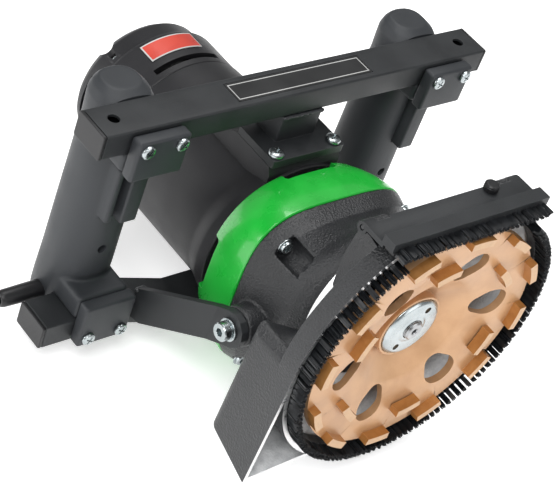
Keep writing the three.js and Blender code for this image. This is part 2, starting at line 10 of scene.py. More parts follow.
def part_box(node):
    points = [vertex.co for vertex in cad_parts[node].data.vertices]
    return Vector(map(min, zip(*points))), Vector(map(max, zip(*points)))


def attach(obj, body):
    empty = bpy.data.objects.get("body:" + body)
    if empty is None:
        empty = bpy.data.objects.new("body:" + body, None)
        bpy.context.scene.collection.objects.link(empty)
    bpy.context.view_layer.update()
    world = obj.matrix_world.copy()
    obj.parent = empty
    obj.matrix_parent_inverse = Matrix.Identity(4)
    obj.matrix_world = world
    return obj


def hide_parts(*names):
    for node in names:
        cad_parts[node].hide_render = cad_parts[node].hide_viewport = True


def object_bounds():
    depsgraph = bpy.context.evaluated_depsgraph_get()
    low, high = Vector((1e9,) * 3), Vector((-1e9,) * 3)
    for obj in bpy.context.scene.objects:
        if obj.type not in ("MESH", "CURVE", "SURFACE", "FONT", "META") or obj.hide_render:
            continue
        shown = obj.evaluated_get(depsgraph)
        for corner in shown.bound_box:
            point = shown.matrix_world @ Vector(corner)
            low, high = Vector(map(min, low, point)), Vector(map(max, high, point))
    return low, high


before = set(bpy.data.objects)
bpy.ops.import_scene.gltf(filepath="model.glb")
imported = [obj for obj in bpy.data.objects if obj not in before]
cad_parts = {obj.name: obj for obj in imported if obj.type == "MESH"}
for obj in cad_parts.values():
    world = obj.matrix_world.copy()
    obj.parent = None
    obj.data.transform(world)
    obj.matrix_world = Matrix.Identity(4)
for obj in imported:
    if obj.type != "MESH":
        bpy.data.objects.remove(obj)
cadBox = [list(corner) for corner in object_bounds()]
scene = bpy.context.scene
print("frame loaded:", len(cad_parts), "nodes")

# ---- camera, light and floor

cameraSet = {
    "place": (-0.7357, -0.4479, 0.7095),
    "right": (0.756, -0.586, 0.293),
    "down": (-0.228, -0.654, -0.721),
    "lens": 112.25,
}
right = Vector(cameraSet["right"]).normalized()
down = Vector(cameraSet["down"])
down = (down - right * down.dot(right)).normalized()
ahead = right.cross(down)
cameraData = bpy.data.cameras.new("camera")
cameraData.lens = cameraSet["lens"]
cameraData.sensor_width = 36
camera = bpy.data.objects.new("camera", cameraData)
camera.matrix_world = Matrix((
    (right.x, -down.x, -ahead.x, cameraSet["place"][0]),
    (right.y, -down.y, -ahead.y, cameraSet["place"][1]),
    (right.z, -down.z, -ahead.z, cameraSet["place"][2]),
    (0, 0, 0, 1),
))
scene.collection.objects.link(camera)
scene.camera = camera
scene.view_settings.view_transform = "Standard"

lightSet = {
    "key": {"place": (-1.1, -0.5, 1.5), "size": 0.9, "power": 22},
    "fill": {"place": (0.5, -1.6, 0.7), "size": 1.2, "power": 10},
    "top": {"place": (0.3, 0.6, 1.7), "size": 1.1, "power": 20},
    "side": {"place": (-1.5, 0.9, 0.5), "size": 0.8, "power": 9},
}
for lightName, lamp in lightSet.items():
    lampData = bpy.data.lights.new(lightName, "AREA")
    lampData.size = lamp["size"]
    lampData.energy = lamp["power"]
    lampObject = bpy.data.objects.new(lightName, lampData)
    lampObject.location = lamp["place"]
    aim = Vector((0, 0.12, 0)) - Vector(lamp["place"])
    lampObject.rotation_euler = aim.to_track_quat("-Z", "Y").to_euler()
    scene.collection.objects.link(lampObject)

room = bpy.data.worlds.new("studio")
room.use_nodes = True
room.node_tree.nodes["Background"].inputs["Color"].default_value = (1, 1, 1, 1)
room.node_tree.nodes["Background"].inputs["Strength"].default_value = 0.3
scene.world = room

floorMesh = bmesh.new()
bmesh.ops.create_grid(floorMesh, x_segments=1, y_segments=1, size=6)
bmesh.ops.translate(floorMesh, vec=(0, 0, cadBox[0][2] - 0.0005), verts=floorMesh.verts)
floorData = bpy.data.meshes.new("floor")
floorMesh.to_mesh(floorData)
floorMesh.free()
floor = bpy.data.objects.new("floor", floorData)
scene.collection.objects.link(floor)
floorLook = bpy.data.materials.new("paleFloor")
floorLook.use_nodes = True
floorShader = floorLook.node_tree.nodes["Principled BSDF"]
floorShader.inputs["Base Color"].default_value = (0.93, 0.93, 0.93, 1)
floorShader.inputs["Roughness"].default_value = 0.9
floorShader.inputs["Emission Color"].default_value = (1, 1, 1, 1)
floorShader.inputs["Emission Strength"].default_value = 0.5
floor.data.materials.append(floorLook)
print("camera, light and floor ready")

# ---- shader node groups


def startGroup(name, inputs, outputs):
    group = bpy.data.node_groups.new(name, "ShaderNodeTree")
    for label, value in inputs.items():
        socket = group.interface.new_socket(name=label, in_out="INPUT", socket_type="NodeSocketFloat")
        socket.default_value = value
    for label in outputs:
        group.interface.new_socket(name=label, in_out="OUTPUT", socket_type="NodeSocketFloat")
    return group, group.nodes.new("NodeGroupInput"), group.nodes.new("NodeGroupOutput")


def addNode(tree, kind, settings=None, values=None):
    node = tree.nodes.new("ShaderNode" + kind)
    for key, value in (settings or {}).items():
        setattr(node, key, value)
    for key, value in (values or {}).items():
        node.inputs[key].default_value = value
    return node


def wire(tree, pairs):  # links each output to its input
    for source, target in pairs:
        tree.links.new(source, target)


def edgeWearGroup():  # 1 along sharp edges, broken up by noise, 0 on flat faces
    tree, given, out = startGroup(
        "edgeWear",
        {"Radius": 0.0008, "Gain": 6.0, "Patch": 160.0},
        ["Mask"],
    )
    soft = addNode(tree, "Bevel", {"samples": 6})
    shape = addNode(tree, "NewGeometry")
    dot = addNode(tree, "VectorMath", {"operation": "DOT_PRODUCT"})
    less = addNode(tree, "Math", {"operation": "SUBTRACT"}, {0: 1.0})
    gain = addNode(tree, "Math", {"operation": "MULTIPLY"})
    place = addNode(tree, "TexCoord")
    noise = addNode(tree, "TexNoise", {}, {"Detail": 4.0, "Roughness": 0.6})
    band = addNode(tree, "MapRange", {}, {"From Min": 0.4, "From Max": 0.62})
    broken = addNode(tree, "Math", {"operation": "MULTIPLY", "use_clamp": True})
    wire(tree, [
        (given.outputs["Radius"], soft.inputs["Radius"]),
        (soft.outputs["Normal"], dot.inputs[0]),
        (shape.outputs["Normal"], dot.inputs[1]),
        (dot.outputs["Value"], less.inputs[1]),
        (less.outputs[0], gain.inputs[0]),
        (given.outputs["Gain"], gain.inputs[1]),
        (place.outputs["Object"], noise.inputs["Vector"]),
        (given.outputs["Patch"], noise.inputs["Scale"]),
        (noise.outputs[0], band.inputs["Value"]),
        (gain.outputs[0], broken.inputs[0]),
        (band.outputs[0], broken.inputs[1]),
        (broken.outputs[0], out.inputs["Mask"]),
    ])
    return tree


def grainGroup():  # pebbled moulding or powder grain: a height and a slow blotch mask
    tree, given, out = startGroup(
        "surfaceGrain",
        {"Grain": 1500.0, "Blotch": 35.0},
        ["Height", "Blotches"],
    )
    place = addNode(tree, "TexCoord")
    pebble = addNode(tree, "TexVoronoi", {"feature": "SMOOTH_F1"}, {"Smoothness": 0.7})
    fine = addNode(tree, "TexNoise", {}, {"Detail": 3.0, "Roughness": 0.65})
    mix = addNode(tree, "Math", {"operation": "MULTIPLY_ADD"}, {1: 0.6})
    slow = addNode(tree, "TexNoise", {}, {"Detail": 5.0, "Roughness": 0.55})
    spread = addNode(tree, "MapRange", {}, {"From Min": 0.35, "From Max": 0.65})
    for texture in (pebble, fine, slow):
        tree.links.new(place.outputs["Object"], texture.inputs["Vector"])
    wire(tree, [
        (given.outputs["Grain"], pebble.inputs["Scale"]),
        (given.outputs["Grain"], fine.inputs["Scale"]),
        (given.outputs["Blotch"], slow.inputs["Scale"]),
        (pebble.outputs["Distance"], mix.inputs[0]),
        (fine.outputs[0], mix.inputs[2]),
        (mix.outputs[0], out.inputs["Height"]),
        (slow.outputs[0], spread.inputs["Value"]),
        (spread.outputs[0], out.inputs["Blotches"]),
    ])
    return tree


def turningGroup():  # fine rings left by a lathe, about the Y axis
    tree, given, out = startGroup(
        "turningMarks",
        {"Pitch": 2500.0, "Height of axis": 0.0},
        ["Height"],
    )
    place = addNode(tree, "TexCoord")
    split = addNode(tree, "SeparateXYZ")
    lift = addNode(tree, "Math", {"operation": "SUBTRACT"})
    join = addNode(tree, "CombineXYZ")
    length = addNode(tree, "VectorMath", {"operation": "LENGTH"})
    total = addNode(tree, "Math", {"operation": "ADD"})
    noise = addNode(tree, "TexNoise", {"noise_dimensions": "1D"}, {"Detail": 2.0, "Roughness": 0.7})
    wire(tree, [
        (place.outputs["Object"], split.inputs[0]),
        (split.outputs["Z"], lift.inputs[0]),
        (given.outputs["Height of axis"], lift.inputs[1]),
        (split.outputs["X"], join.inputs["X"]),
        (lift.outputs[0], join.inputs["Z"]),
        (join.outputs[0], length.inputs[0]),
        (length.outputs["Value"], total.inputs[0]),
        (split.outputs["Y"], total.inputs[1]),
        (total.outputs[0], noise.inputs["W"]),
        (given.outputs["Pitch"], noise.inputs["Scale"]),
        (noise.outputs[0], out.inputs["Height"]),
    ])
    return tree


edgeWear = edgeWearGroup()
surfaceGrain = grainGroup()
turningMarks = turningGroup()


def startMaterial(name, fixed):
    material = bpy.data.materials.new(name)
    material.use_nodes = True
    shader = material.node_tree.nodes["Principled BSDF"]
    for key, value in fixed.items():
        shader.inputs[key].default_value = value
    return material, material.node_tree, shader


def useGroup(tree, group, values):
    return addNode(tree, "Group", {"node_tree": group}, values)


def bumpFrom(tree, shader, height, depth, strength=1.0, under=None):
    bump = addNode(tree, "Bump", {}, {"Distance": depth, "Strength": strength})
    tree.links.new(height, bump.inputs["Height"])
    if under:
        tree.links.new(under.outputs["Normal"], bump.inputs["Normal"])
    tree.links.new(bump.outputs["Normal"], shader.inputs["Normal"])
    return bump


def mixColour(tree, mask, low, high):  # a colour or a socket at each end
    mix = addNode(tree, "Mix", {"data_type": "RGBA"})
    if mask is not None:
        tree.links.new(mask, mix.inputs["Factor"])
    for socket, value in ((mix.inputs[6], low), (mix.inputs[7], high)):
        if isinstance(value, tuple):
            socket.default_value = (*value, 1)
        else:
            tree.links.new(value, socket)
    return mix.outputs[2]


def grainOf(tree, shader, grain, blotch, rough):  # the shared grain, with its blotches steering the roughness
    node = useGroup(tree, surfaceGrain, {"Grain": grain, "Blotch": blotch})
    spread = addNode(tree, "MapRange", {}, {"To Min": rough[0], "To Max": rough[1]})
    wire(tree, [
        (node.outputs["Blotches"], spread.inputs["Value"]),
        (spread.outputs[0], shader.inputs["Roughness"]),
    ])
    return node


# paint, powder coat or moulded plastic; coat is (weight, roughness) of a clear layer
def coatedLook(name, dark, light, worn, rough, depth=0.00001, grain=700.0, gain=0.0, radius=0.0007,
               blotch=35.0, speck=0.15, shine=0.5, metal=0.0, coat=(0.0, 0.03)):
    material, tree, shader = startMaterial(name, {
        "Specular IOR Level": shine, "Metallic": metal, "Coat Weight": coat[0], "Coat Roughness": coat[1]})
    grained = grainOf(tree, shader, grain, blotch, rough)
    wear = useGroup(tree, edgeWear, {"Radius": radius, "Gain": gain})
    base = mixColour(tree, grained.outputs["Blotches"], dark, light)
    dots = addNode(tree, "MapRange", {}, {"From Min": 0.35, "From Max": 0.75, "To Min": 0.0, "To Max": speck})
    wire(tree, [(grained.outputs["Height"], dots.inputs["Value"])])
    speckled = mixColour(tree, dots.outputs[0], base, light)
    wire(tree, [(mixColour(tree, wear.outputs["Mask"], speckled, worn), shader.inputs["Base Color"])])
    bumpFrom(tree, shader, grained.outputs["Height"], depth)
    return material


def metalLook(name, dark, light, rough, depth=0.00002, grain=900.0, blotch=120.0, metal=1.0,
              turned=0.0, axis=0.0, ringDepth=0.00004):
    material, tree, shader = startMaterial(name, {"Metallic": metal})
    grained = grainOf(tree, shader, grain, blotch, rough)
    wire(tree, [(mixColour(tree, grained.outputs["Blotches"], dark, light), shader.inputs["Base Color"])])
    under = bumpFrom(tree, shader, grained.outputs["Height"], depth)
    if turned:
        rings = useGroup(tree, turningMarks, {"Pitch": turned, "Height of axis": axis})
        bumpFrom(tree, shader, rings.outputs["Height"], ringDepth, 1.0, under)
    return material


framePaint = coatedLook("framePaint", (0.014, 0.0155, 0.017), (0.023, 0.025, 0.027), (0.075, 0.078, 0.08),
    (0.4, 0.52), depth=0.0001, grain=1700.0, gain=3.0, shine=0.35)
gripPlastic = coatedLook("gripPlastic", (0.023, 0.0255, 0.029), (0.032, 0.035, 0.039), (0.07, 0.073, 0.078),
    (0.42, 0.54), depth=0.00009, grain=2300.0, gain=1.6, speck=0.4, shine=0.35)
motorPlastic = coatedLook("motorPlastic", (0.010, 0.010, 0.0115), (0.016, 0.016, 0.018), (0.05, 0.05, 0.053),
    (0.4, 0.52), depth=0.00008, grain=2100.0, gain=1.6, shine=0.4)
castCoat = coatedLook("castCoat", (0.008, 0.0085, 0.0095), (0.020, 0.021, 0.023), (0.13, 0.135, 0.14),
    (0.28, 0.42), depth=0.0005, grain=720.0, gain=2.6, radius=0.0006, speck=0.5)
trimGreen = coatedLook("trimGreen", (0.008, 0.36, 0.030), (0.014, 0.46, 0.044), (0.10, 0.62, 0.13),
    (0.22, 0.32), grain=900.0, gain=1.6, speck=0.05, coat=(0.6, 0.08))
plugPlastic = coatedLook("plugPlastic", (0.008, 0.008, 0.009), (0.014, 0.014, 0.0155), (0.045, 0.045, 0.048),
    (0.36, 0.48), depth=0.00006, grain=2200.0, gain=1.8, shine=0.4)
bristleNylon = coatedLook("bristleNylon", (0.005, 0.0055, 0.0065), (0.014, 0.016, 0.019), (0.05, 0.055, 0.06),
    (0.3, 0.42), depth=0.00002, grain=600.0, blotch=220.0, shine=0.45)
labelFilm = coatedLook("labelFilm", (0.006, 0.0065, 0.007), (0.010, 0.0105, 0.011), (0.05, 0.05, 0.05),
    (0.28, 0.36), gain=1.0, coat=(0.3, 0.2))
labelInk = coatedLook("labelInk", (0.42, 0.42, 0.41), (0.52, 0.52, 0.51), (0.5, 0.5, 0.5), (0.3, 0.4),
    coat=(0.3, 0.2))
plateInk = coatedLook("plateInk", (0.46, 0.035, 0.022), (0.58, 0.055, 0.032), (0.6, 0.2, 0.15), (0.26, 0.36),
    coat=(0.4, 0.15))
wheelLacquer = coatedLook("wheelLacquer", (0.45, 0.245, 0.115), (0.57, 0.335, 0.175), (0.62, 0.38, 0.20),
    (0.34, 0.46), depth=0.00006, grain=1200.0, gain=2.0, blotch=45.0, metal=0.3,
    coat=(0.2, 0.25))
# segment sides: a darker, more saturated orange copy of the wheel's copper paint; the darkness is painted
# shade
segmentSidePaintedShade = coatedLook("segmentSidePaintedShade", (0.36, 0.145, 0.035), (0.48, 0.22, 0.065), (0.62, 0.38, 0.20),
    (0.3, 0.42), depth=0.0001, grain=1500.0, gain=2.0, blotch=150.0, speck=0.4, metal=0.3, coat=(0.2, 0.2))
segmentGrit = coatedLook("segmentGrit", (0.44, 0.26, 0.14), (0.60, 0.40, 0.24), (0.66, 0.46, 0.29),
    (0.42, 0.6), depth=0.00018, grain=1500.0, gain=2.0, blotch=150.0, speck=0.6, shine=0.4, metal=0.2)
weldSteel = coatedLook("weldSteel", (0.016, 0.0175, 0.019), (0.028, 0.030, 0.033), (0.09, 0.095, 0.1),
    (0.3, 0.42), depth=0.0002, grain=1200.0, gain=2.0)
brightZinc = metalLook("brightZinc", (0.38, 0.42, 0.43), (0.48, 0.52, 0.53), (0.24, 0.30), depth=0.000004,
    blotch=90.0)
toolSteel = metalLook("toolSteel", (0.30, 0.31, 0.32), (0.46, 0.47, 0.48), (0.26, 0.4), turned=3000.0)
turnedAlloy = metalLook("turnedAlloy", (0.72, 0.73, 0.74), (0.86, 0.86, 0.86), (0.24, 0.36), turned=2600.0)
motorSteel = metalLook("motorSteel", (0.42, 0.43, 0.44), (0.60, 0.61, 0.62), (0.26, 0.4), turned=3000.0,
    axis=-0.0345)
rawCast = metalLook("rawCast", (0.60, 0.61, 0.62), (0.86, 0.87, 0.88), (0.36, 0.52), depth=0.0003,
    blotch=110.0, metal=0.15)
windingCopper = metalLook("windingCopper", (0.50, 0.20, 0.07), (0.75, 0.36, 0.15), (0.3, 0.42), depth=0.0001,
    grain=1400.0, turned=1500.0, axis=-0.0345, ringDepth=0.0002)
holderBrass = metalLook("holderBrass", (0.62, 0.44, 0.15), (0.78, 0.60, 0.26), (0.25, 0.38))
print("materials ready:", len(bpy.data.materials))

# ---- mesh helpers

axisTurn = {
    "x": Matrix.Rotation(math.pi / 2, 4, "Y"),
    "y": Matrix.Rotation(-math.pi / 2, 4, "X"),
    "z": Matrix.Identity(4),
}


def roundEdges(bm, edges, offset, segments, clamp=True):
    bmesh.ops.bevel(bm, geom=edges, offset=offset, offset_type="OFFSET", segments=segments, profile=0.5,
                    affect="EDGES", material=-1, clamp_overlap=clamp)


def addBox(bm, x, y, z, bevel=0.0, segments=3, edgeAxis=None):  # each of x, y, z is (low, high)
    size = [span[1] - span[0] for span in (x, y, z)]
    centre = [(span[1] + span[0]) / 2 for span in (x, y, z)]
    matrix = Matrix.Translation(centre) @ Matrix.Diagonal((*size, 1))
    verts = bmesh.ops.create_cube(bm, size=1, matrix=matrix)["verts"]
    if bevel:
        edges = {edge for vert in verts for edge in vert.link_edges}
        if edgeAxis is not None:
            edges = {e for e in edges if abs((e.verts[0].co - e.verts[1].co).normalized()[edgeAxis]) > 0.9}
        roundEdges(bm, list(edges), bevel, segments)


def addLathe(bm, profile, place=(0, 0, 0), axis="y", steps=96):  # profile of (radius, height), closed
    before = set(bm.verts)
    ring = [bm.verts.new((r, 0, h)) for r, h in profile]
    edges = [bm.edges.new((ring[i - 1], ring[i])) for i in range(len(ring))]
    edges = [e for e in edges if max(v.co.x for v in e.verts) > 1e-6]
    bmesh.ops.spin(bm, geom=ring + edges, cent=(0, 0, 0), axis=(0, 0, 1), angle=2 * math.pi,
                   steps=steps, use_merge=True)
    made = [v for v in bm.verts if v not in before]
    bmesh.ops.remove_doubles(bm, verts=made, dist=1e-4)
    made = [v for v in bm.verts if v not in before]
    loose = [e for v in made for e in v.link_edges if not e.link_faces]
    bmesh.ops.delete(bm, geom=list(set(loose)), context="EDGES")
    made = [v for v in bm.verts if v not in before]
    bmesh.ops.transform(bm, matrix=Matrix.Translation(place) @ axisTurn[axis], verts=made)
    return made


def addRod(bm, radius, low, high, place=(0, 0, 0), axis="y", steps=48, chamfer=0.0):
    if chamfer:
        profile = [(0, low), (radius - chamfer, low), (radius, low + chamfer),
                   (radius, high - chamfer), (radius - chamfer, high), (0, high)]
    else:
        profile = [(0, low), (radius, low), (radius, high), (0, high)]
    return addLathe(bm, profile, place, axis, steps)


def raiseFaces(bm, faces, shift):  # extrudes faces and moves the new ones
    raised = bmesh.ops.extrude_face_region(bm, geom=faces, use_keep_orig=True)["geom"]
    bmesh.ops.translate(bm, vec=shift, verts=[g for g in raised if isinstance(g, bmesh.types.BMVert)])


def addPlan(bm, outline, low, high, axis):  # outline in the plane across the axis, drawn from low to high
    spread = {
        "x": lambda a, b: (low, a, b), "y": lambda a, b: (a, low, b), "z": lambda a, b: (a, b, low),
    }[axis]
    face = bm.faces.new([bm.verts.new(spread(a, b)) for a, b in outline])
    shift = [0, 0, 0]
    shift["xyz".index(axis)] = high - low
    raiseFaces(bm, [face], shift)


def addLoft(bm, rings):  # bridges closed rings of points and closes both ends
    loops = []
    for ring in rings:
        verts = [bm.verts.new(point) for point in ring]
        loops.append([bm.edges.new((verts[i - 1], verts[i])) for i in range(len(verts))])
    for one, two in zip(loops, loops[1:]):
        bmesh.ops.bridge_loops(bm, edges=one + two)
    for loop in (loops[0], loops[-1]):
        bmesh.ops.contextual_create(bm, geom=loop)


def meshOf(bm, name):
    mesh = bpy.data.meshes.new(name)
    bm.to_mesh(mesh)
    bm.free()
    return mesh


def objectOf(bm, name):
    piece = bpy.data.objects.new(name, meshOf(bm, name))
    scene.collection.objects.link(piece)
    return piece


def solidOf(bm, name="working"):
    bmesh.ops.remove_doubles(bm, verts=bm.verts, dist=1e-4)
    bmesh.ops.recalc_face_normals(bm, faces=bm.faces)
    return objectOf(bm, name)


def shape(draw, *args, **kwargs):  # one solid drawn by a single helper
    bm = bmesh.new()
    draw(bm, *args, **kwargs)
    return solidOf(bm)


def applied(piece):
    evaluated = piece.evaluated_get(bpy.context.evaluated_depsgraph_get())
    mesh = bpy.data.meshes.new_from_object(evaluated)
    piece.modifiers.clear()
    piece.data = mesh
    return piece


def combine(piece, others, operation="DIFFERENCE"):
    for other in others:
        step = piece.modifiers.new("step", "BOOLEAN")
        step.object = other
        step.operation = operation
        step.solver = "EXACT"
        applied(piece)
        bpy.data.objects.remove(other)
    return piece


def melt(piece, voxel, rounds):  # remeshes and smooths, which leaves a cast or moulded fillet in each corner
    remesh = piece.modifiers.new("remesh", "REMESH")
    remesh.mode = "VOXEL"
    remesh.voxel_size = voxel
    smooth = piece.modifiers.new("smooth", "SMOOTH")
    smooth.factor = 0.5
    smooth.iterations = rounds
    return applied(piece)


def copyOf(node, name):  # a merged copy of a CAD node's mesh, in millimetres, with its flat faces joined up
    bm = bmesh.new()
    bm.from_mesh(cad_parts[node].data)
    bmesh.ops.scale(bm, vec=(1000, 1000, 1000), verts=bm.verts)
    bmesh.ops.remove_doubles(bm, verts=bm.verts, dist=0.002)
    bmesh.ops.dissolve_limit(bm, angle_limit=math.radians(1), verts=bm.verts, edges=bm.edges)
    return solidOf(bm, name)


def finishPiece(piece, name, looks, nodes, body="machine", bevel=0.0, angle=35, segments=2,
                pick=None):
    mesh = piece.data
    mesh.transform(Matrix.Scale(0.001, 4))
    piece.name = name
    mesh.name = name
    looks = looks if isinstance(looks, list) else [looks]
    mesh.materials.clear()
    for look in looks:
        mesh.materials.append(look)
    for polygon in mesh.polygons:
        polygon.material_index = pick(polygon.normal, polygon.center * 1000) if pick else 0
    mesh.shade_smooth()
    mesh.set_sharp_from_angle(angle=math.radians(angle))
    if bevel:
        edge = piece.modifiers.new("edges", "BEVEL")
        edge.width = bevel / 1000
        edge.segments = segments
        edge.limit_method = "ANGLE"
        edge.angle_limit = math.radians(angle)
        edge.harden_normals = True
        edge.use_clamp_overlap = True
    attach(piece, body)
    if nodes:
        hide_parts(*nodes)
    return piece


def mmBox(node):
    low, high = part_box(node)
    return low * 1000, high * 1000


def mmMiddle(node):
    low, high = mmBox(node)
    return (low + high) / 2


def across(side, near, far):  # the span from near to far on one side of the machine, lower end first
    return tuple(sorted((side * near, side * far)))


def cutAlong(piece, axis, spots):  # adds edges where planes across an axis meet the surface
    bm = bmesh.new()
    bm.from_mesh(piece.data)
    for spot in spots:
        point, normal = [0, 0, 0], [0, 0, 0]
        point[axis], normal[axis] = spot, 1
        everything = bm.verts[:] + bm.edges[:] + bm.faces[:]
        bmesh.ops.bisect_plane(bm, geom=everything, plane_co=point, plane_no=normal)
    bm.to_mesh(piece.data)
    bm.free()


# ---- cup wheel with its segments

wheelSet = {
    "front": -14, "segmentHeight": 7.4, "steps": 144, "turn": -3.6,
    "outer": {"count": 12, "low": 84.45, "high": 89.95, "span": 13.2, "start": 0},
    "inner": {"count": 6, "low": 63.5, "high": 69.0, "span": 17.0, "start": 45},
    "slot": {"count": 6, "near": (52.5, 8), "far": (60.2, 11.8), "start": 15},
    "profile": [(90, -7), (90, -2.6), (89.4, -2), (74, -2), (60, -0.6), (37, 7), (32, 14), (11.1, 14),
                (11.1, 6.5), (22.9, 6.5), (22.9, 5.5), (23.3, 5.2), (24.4, 5.2), (24.8, 5.6), (24.8, 11.6),
                (25.2, 12.0), (26.1, 11.5), (42.5, 0.1), (44.6, -1.1), (48, -1.95), (60, -5), (66, -6.4),
                (72, -7)],
}


def atAngle(radius, degrees, y=0.0, z=0.0):
    turn = math.radians(degrees)
    return (radius * math.cos(turn), y, z + radius * math.sin(turn))


def addSegment(bm, low, high, middle, span, front, height):
    start = [bm.verts.new(atAngle(r, middle - span / 2, front)) for r in (low, high)]
    edge = bm.edges.new(start)
    before = set(bm.faces)
    bmesh.ops.spin(bm, geom=start + [edge], cent=(0, 0, 0), axis=(0, -1, 0), angle=math.radians(span),
                   steps=8)
    raiseFaces(bm, [f for f in bm.faces if f not in before], (0, height, 0))


def slotOutline(slot, degrees):  # pear shape: an arc at each end, joined by tangents
    (near, small), (far, large) = slot["near"], slot["far"]
    lean = math.degrees(math.asin((large - small) / (far - near)))
    arcs = ((far, large, -90 - lean, 90 + lean), (near, small, 90 + lean, 270 - lean))
    points = []
    for at, size, start, end in arcs:
        for k in range(17):
            x, _, z = atAngle(size, start + (end - start) * k / 16)
            points.append((Matrix.Rotation(math.radians(degrees), 2) @ Vector((at + x, z))).to_tuple())
    return points


def makeWheel():
    disc = shape(addLathe, wheelSet["profile"], steps=wheelSet["steps"])
    slot = wheelSet["slot"]
    turns = [wheelSet["turn"] + slot["start"] + 360 / slot["count"] * k for k in range(slot["count"])]
    combine(disc, [shape(addPlan, slotOutline(slot, turn), -20, 20, "y") for turn in turns])
    bm = bmesh.new()
    for row in (wheelSet["outer"], wheelSet["inner"]):
        for k in range(row["count"]):
            middle = wheelSet["turn"] + row["start"] + 360 / row["count"] * k
            addSegment(bm, row["low"], row["high"], middle, row["span"], wheelSet["front"],
                       wheelSet["segmentHeight"])
    segments = solidOf(bm)
    combine(disc, [segments], "UNION")

    # the segment fronts get the grit face; every side face of a segment gets the darker orange copy of the
    # paint, which is painted shade
    def wheelFinishAndSideShade(normal, centre):
        if normal.y < -0.9 and centre.y < wheelSet["front"] + 0.5:
            return 1
        return 2 if centre.y < -7.1 and abs(normal.y) < 0.5 else 0
    finishPiece(disc, "cupWheel", [wheelLacquer, segmentGrit, segmentSidePaintedShade], ["cup_wheel"],
                body="wheel_spindle", bevel=0.45, angle=32, pick=wheelFinishAndSideShade)


makeWheel()
print("cup wheel ready")

# ---- nut and spindle

nutSet = {
    "profile": [(7.3, 2.9), (7.7, 2.45), (9.6, 2.45), (10.4, 2.9), (11.4, 3.0), (19.6, 3.0), (20.6, 3.2),
                (22.2, 4.6), (22.5, 5.1), (22.5, 5.9), (22.2, 6.2), (10.8, 6.2), (10.8, 12.5), (7.3, 12.5)],
    "pinHole": {"radius": 2.5, "at": 16, "angles": (60, 240), "depth": 8},
}
nutHoles = [shape(addRod, nutSet["pinHole"]["radius"], 0, nutSet["pinHole"]["depth"],
                  place=atAngle(nutSet["pinHole"]["at"], a), steps=32) for a in nutSet["pinHole"]["angles"]]
nut = combine(shape(addLathe, nutSet["profile"]), nutHoles)
finishPiece(nut, "flangeNut", brightZinc, ["flange_nut"], body="wheel_spindle", bevel=0.25)

spindleSet = {
    "profile": [(0, 7), (2.1, 5.6), (2.1, 0.7), (2.8, 0), (5.9, 0), (7, 1.1), (7, 1.6), (6.5, 2.0), (7, 2.4),
                (6.5, 2.8), (7, 3.2), (7, 19.7), (10, 19.7), (10, 39.7), (8.2, 39.7), (8.2, 54.7),
                (7.5, 54.7), (7.5, 77.7), (5.7, 77.7), (5.7, 86), (0, 86)],
}
finishPiece(shape(addLathe, spindleSet["profile"], steps=72), "spindleShaft", toolSteel, ["spindle"],
    body="wheel_spindle")
print("nut and spindle ready")

# ---- hood with its corner duct

hoodSet = {
    "rim": 106.5, "wall": 3, "front": -3.5, "back": 10.3, "chord": 89, "steps": 160,
    "corner": [(-112, -92), (-60, -90.5), (-40, -84), (-62, -14), (-98, 8), (-106.2, 3)],
    "hollow": [(-109, -89), (-61, -87.5), (-52, -80), (-66, -30), (-96, -14), (-104.5, -8)],
    "ductBack": 40, "socket": {"radius": 15, "at": (-86, -54)},
    "web": [(10, 84), (18, 86), (28, 86), (31, 60), (30, 36), (24, 32)],
    "lug": {"near": 48, "far": 58, "y": 23, "z": 91, "radius": 4, "bore": 2},
}


def hoodSlope(lift):
    low, front = -92, hoodSet["front"] - 2
    outline = [(front, low - 6), (front, low + lift - 1.0), (45, lift - 77), (45, -99)]
    return shape(addPlan, outline, -130, -40, "x")


def insideDuct(x, z):  # is this point within the hollow of the corner duct, walls included
    outline = hoodSet["hollow"]
    for (ax, az), (bx, bz) in zip(outline, outline[1:] + outline[:1]):
        if (bx - ax) * (z - az) - (bz - az) * (x - ax) < -0.6 * math.hypot(bx - ax, bz - az):
            return False
    return True


